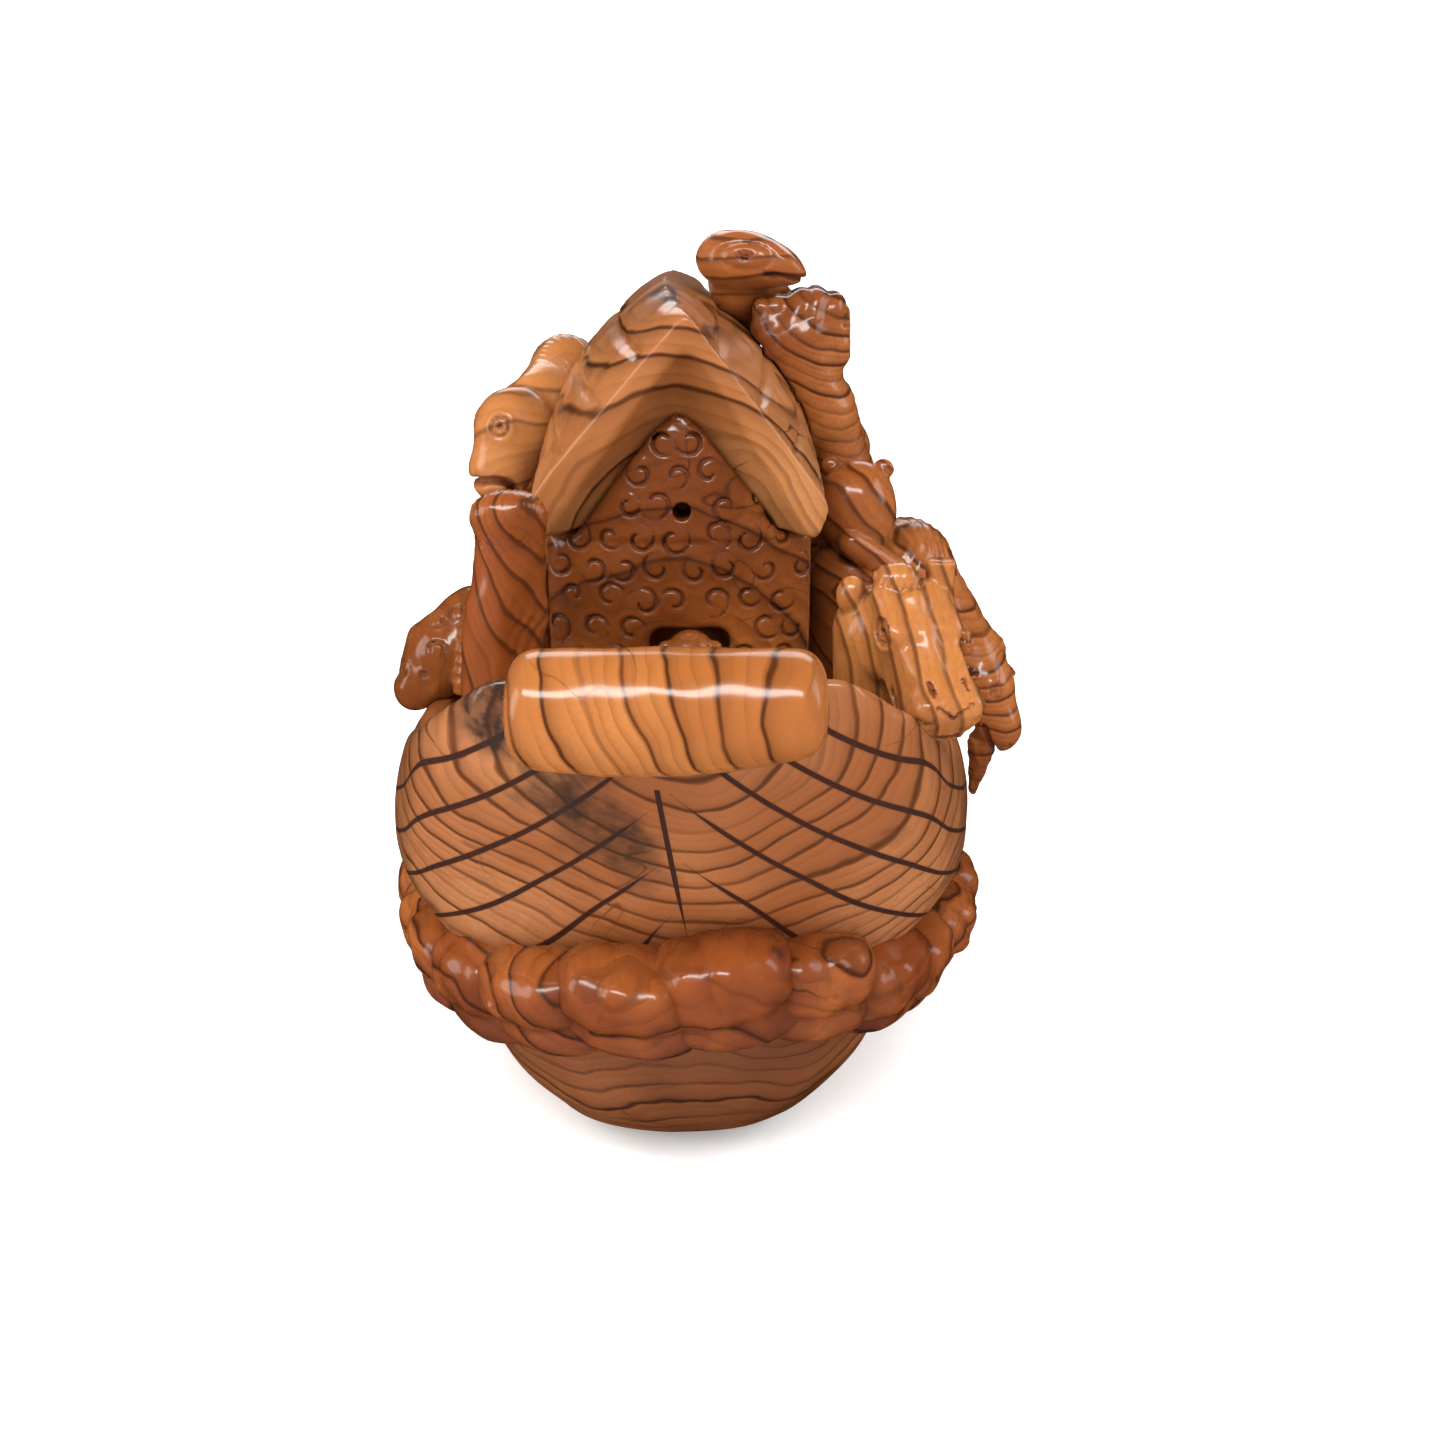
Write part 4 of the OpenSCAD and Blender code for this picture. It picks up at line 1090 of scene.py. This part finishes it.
animal("elephant", elephant_field, (7, -8.5, 44.5), (31.5, 10, 121), 0.42,
       lacquered_olive("elephant_olive", (40, 0, 150), turn=(20, 0, 0), spacing=2.3, wander=0.7, veins=0.95,
                       pale=(0.26, 0.080, 0.019, 1), warm=(0.13, 0.032, 0.007, 1)))


# ---- Bear -------------------------------------------------------------------------------------
# A sitting bear leans on the starboard wall under the eave and looks aft, with a smooth polished head.
# Its coat is cut in curls down its back and its outer side.
bear_curls = [((31.6, -19.0, 80.0), (0.8, -0.6, 0.1), 1.5, 0.5, 1),
              ((31.8, -20.4, 75.6), (0.8, -0.6, 0.0), 1.7, 2.5, -1),
              ((31.4, -21.0, 70.6), (0.7, -0.7, 0.0), 1.8, 4.1, 1),
              ((27.6, -22.9, 78.6), (0.2, -1.0, 0.0), 1.8, 1.2, 1),
              ((23.2, -22.6, 76.0), (-0.3, -1.0, 0.0), 1.8, 3.2, -1),
              ((28.4, -22.9, 73.0), (0.2, -1.0, 0.0), 1.9, 5.3, 1),
              ((23.8, -22.6, 70.6), (-0.2, -1.0, 0.0), 1.8, 2.0, 1),
              ((28.0, -22.9, 67.4), (0.1, -1.0, 0.0), 1.8, 3.6, -1)]


def bear_field(p):
    f = body(p, [(25.5, -16, 51, 5.6), (25.6, -16, 66, 6.6), (25.6, -16.2, 76, 6.9)], 2.5)
    head = egg(p, (25.4, -16.8, 87.0), (5.9, 6.0, 7.0))
    f = smooth_min(f, head, 1.4)
    arm = taper(p, (30.0, -20.0, 79.0), (24.4, -22.2, 83.0), 2.4, 2.0)
    f = smooth_min(f, arm, 0.5)
    q = turned(p, (25.4, -15.8, 87.6), (0.25, 0.95, -0.1))
    f = smooth_min(f, egg(q, (0, 5.4, -1.2), (2.6, 2.6, 2.3)), 1.2)
    for side in (-1, 1):
        f = smooth_min(f, egg(q, (side * 3.9, 0.2, 5.2), (1.5, 1.0, 1.4)), 0.6)
        f = drilled_eye(f, q, (side * 3.0, 4.6, 1.8), 0.5)
    f = wool(f, p, bear_curls)
    return rooted(f + 0.12 * gouge_marks(p, 9.0, 5.0), p, (25.5, -16))


animal("bear", bear_field, (17, -25.5, 44.5), (35, -8, 94.5), 0.42,
       lacquered_olive("bear_olive", (10, -16, 60), turn=(0, 10, 0), spacing=3.4, wander=1.1, veins=0.85,
                       pale=(0.27, 0.080, 0.018, 1), warm=(0.15, 0.036, 0.008, 1)))


# ---- Rams -------------------------------------------------------------------------------------
# A bearded ram on the starboard side hangs its head over the rim, and another looks out to port.
# Their horns curl back over the neck in close ridges, and their fleece is cut in curls.
def horn(q, size, thick):
    """Flat spiral horn, ridged along its length."""
    x, y, z = q
    out = np.sqrt(y * y + z * z)
    angle = np.mod(np.arctan2(z, y) + 0.6, 2.0 * math.pi) / (2.0 * math.pi)
    radius = size * (0.45 + 0.55 * angle)
    rod = thick * (0.45 + 0.65 * angle)
    ridge = 0.22 * np.abs(np.sin(angle * 40.0))
    return np.sqrt((out - radius) ** 2 + x * x) - rod + ridge


def starboard_ram_field(p):
    x, y, z = p
    f = body(p, [(29, 20, 51, 5.2), (33, 20, 66, 8.0), (40, 11, 63.4, 8.0), (46.4, 3.4, 58.0, 6.4)], 3.0)
    back = egg(p, (37.0, 15.0, 69.6), (8.6, 10.0, 9.4))
    f = smooth_min(f, back, 2.5)
    fur = strands((x - 0.4 * z, y, y), 1.9, 0.3, 0.2)
    f = f + 0.25 * (1.0 - fur) * np.clip((z - 60.0) / 6.0, 0.0, 1.0) * np.clip((y - 3.0) / 4.0, 0.0, 1.0)
    q = turned(p, (49.0, -0.6, 54.6), (0.30, -0.34, -0.88), (0.8, -0.2, 0.5))
    head = egg(q, (0, 0, 0), (4.8, 5.6, 4.8))
    head = smooth_min(head, egg(q, (0, 6.2, 0.1), (3.9, 5.2, 3.8)), 2.0)
    f = smooth_min(f, head, 1.5)
    beard = taper(p, (49.0, -2.0, 45.0), (48.2, 0.0, 35.4), 2.6, 0.8)
    locks = strands((x + 0.5 * y, y, z), 1.3, 0.2, 0.9)
    f = smooth_min(f, beard + 0.3 * (1.0 - locks), 0.8)
    for root, facing, size, thick in (((44.4, 0.2, 61.0), (0.25, -0.95, 0.0), 4.6, 2.2),
                                      ((50.0, 3.0, 59.0), (0.9, -0.4, 0.0), 4.0, 1.8)):
        f = smooth_min(f, horn(turned(p, root, facing), size, thick), 0.4)
    for side in (-1, 1):
        f = drilled_eye(f, q, (side * 4.0, 1.6, 2.2), 0.65)
        f = smooth_max(f, 0.5 - length3(q[0] - side * 1.5, q[1] - 10.8, q[2] - 1.0), 0.2)
    f = slit(f, q[2] + 1.5, 6.4 - q[1], 0.5)
    return rooted_over_rim(f + 0.12 * gouge_marks(p, 7.0, 6.1), p, (29, 20))


ram_wood = lacquered_olive("starboard_ram_olive", (60, 0, 100), turn=(12, 0, 30), spacing=2.9, wander=1.0,
                           veins=0.85, pale=(0.28, 0.085, 0.020, 1), warm=(0.14, 0.034, 0.008, 1))
animal("starboard_ram", starboard_ram_field, (22.5, -8.5, 32), (57.5, 31, 83), 0.42, ram_wood)

port_curls = [((-39.0, -5.0, 66.5), (-0.5, -0.5, 0.7), 1.7, 0.4, 1),
              ((-36.0, -5.6, 69.0), (-0.2, -0.7, 0.7), 1.7, 2.2, -1),
              ((-42.4, -3.0, 63.6), (-0.8, -0.4, 0.4), 1.8, 3.8, 1),
              ((-38.4, -6.8, 62.6), (-0.4, -0.9, 0.2), 1.8, 5.0, 1),
              ((-33.0, -5.8, 66.0), (0.0, -1.0, 0.3), 1.6, 1.3, -1),
              ((-43.0, -6.2, 59.0), (-0.7, -0.7, 0.2), 1.5, 2.9, 1)]


def port_ram_field(p):
    f = body(p, [(-29, 2, 51, 4.7), (-33.4, 0.6, 63.4, 6.9), (-38.8, -2.6, 60.2, 6.2),
                 (-43.2, -5.6, 55.6, 3.6)], 2.5)
    f = wool(f, p, port_curls)
    comb = taper(p, (-33.4, -6.4, 69.0), (-34.8, -8.6, 57.0), 1.7, 2.2)
    comb = comb + 0.3 * np.abs(np.sin(p[2] * 1.9))
    f = smooth_min(f, comb, 0.5)
    q = turned(p, (-42.0, -5.0, 57.6), (-0.65, -0.6, -0.45))
    for side in (-1, 1):
        f = drilled_eye(f, q, (side * 3.1, 0.6, 1.9), 0.55)
    return rooted_over_rim(f + 0.12 * gouge_marks(p, 7.0, 7.3), p, (-29, 2))


animal("port_ram", port_ram_field, (-49, -12.5, 44.5), (-23, 9, 74), 0.38, fleece_wood)


# ---- Lion -------------------------------------------------------------------------------------
# A small lion keeps low behind the port rim, its mane cut in rays round the face.
def lion_field(p):
    f = body(p, [(-27, 27, 51, 5.2), (-29.6, 26.2, 64, 6.6)], 2.0)
    q = turned(p, (-31.2, 25.6, 66.4), (-0.95, -0.2, -0.15))
    mane = egg(q, (0, -0.5, 0), (6.3, 3.6, 6.2))
    ray = np.abs(np.mod(np.arctan2(q[2], q[0]) * 18.0 / (2.0 * math.pi), 1.0) - 0.5) * 2.0
    mane = mane + 0.5 * (1.0 - ray) * np.clip((np.sqrt(q[0] ** 2 + q[2] ** 2) - 3.2) / 1.5, 0.0, 1.0)
    f = smooth_min(f, mane, 0.6)
    f = smooth_min(f, egg(q, (0, 2.6, -0.3), (3.4, 3.6, 3.6)), 0.8)
    f = smooth_min(f, egg(q, (0, 5.6, -1.2), (2.0, 2.0, 1.7)), 0.7)
    for side in (-1, 1):
        f = drilled_eye(f, q, (side * 1.6, 5.0, 1.4), 0.5)
        f = smooth_min(f, egg(q, (side * 3.4, 1.0, 3.9), (1.3, 1.0, 1.3)), 0.4)
    f = slit(f, q[2] + 2.2, 5.4 - q[1], 0.25)
    return rooted_over_rim(f + 0.10 * gouge_marks(p, 7.0, 8.1), p, (-27, 27))


animal("lion", lion_field, (-40.5, 18, 44.5), (-20.5, 34, 74.5), 0.42,
       lacquered_olive("lion_olive", (-10, 0, 80), turn=(0, 20, 0), spacing=4.0, wander=1.0, veins=0.6))
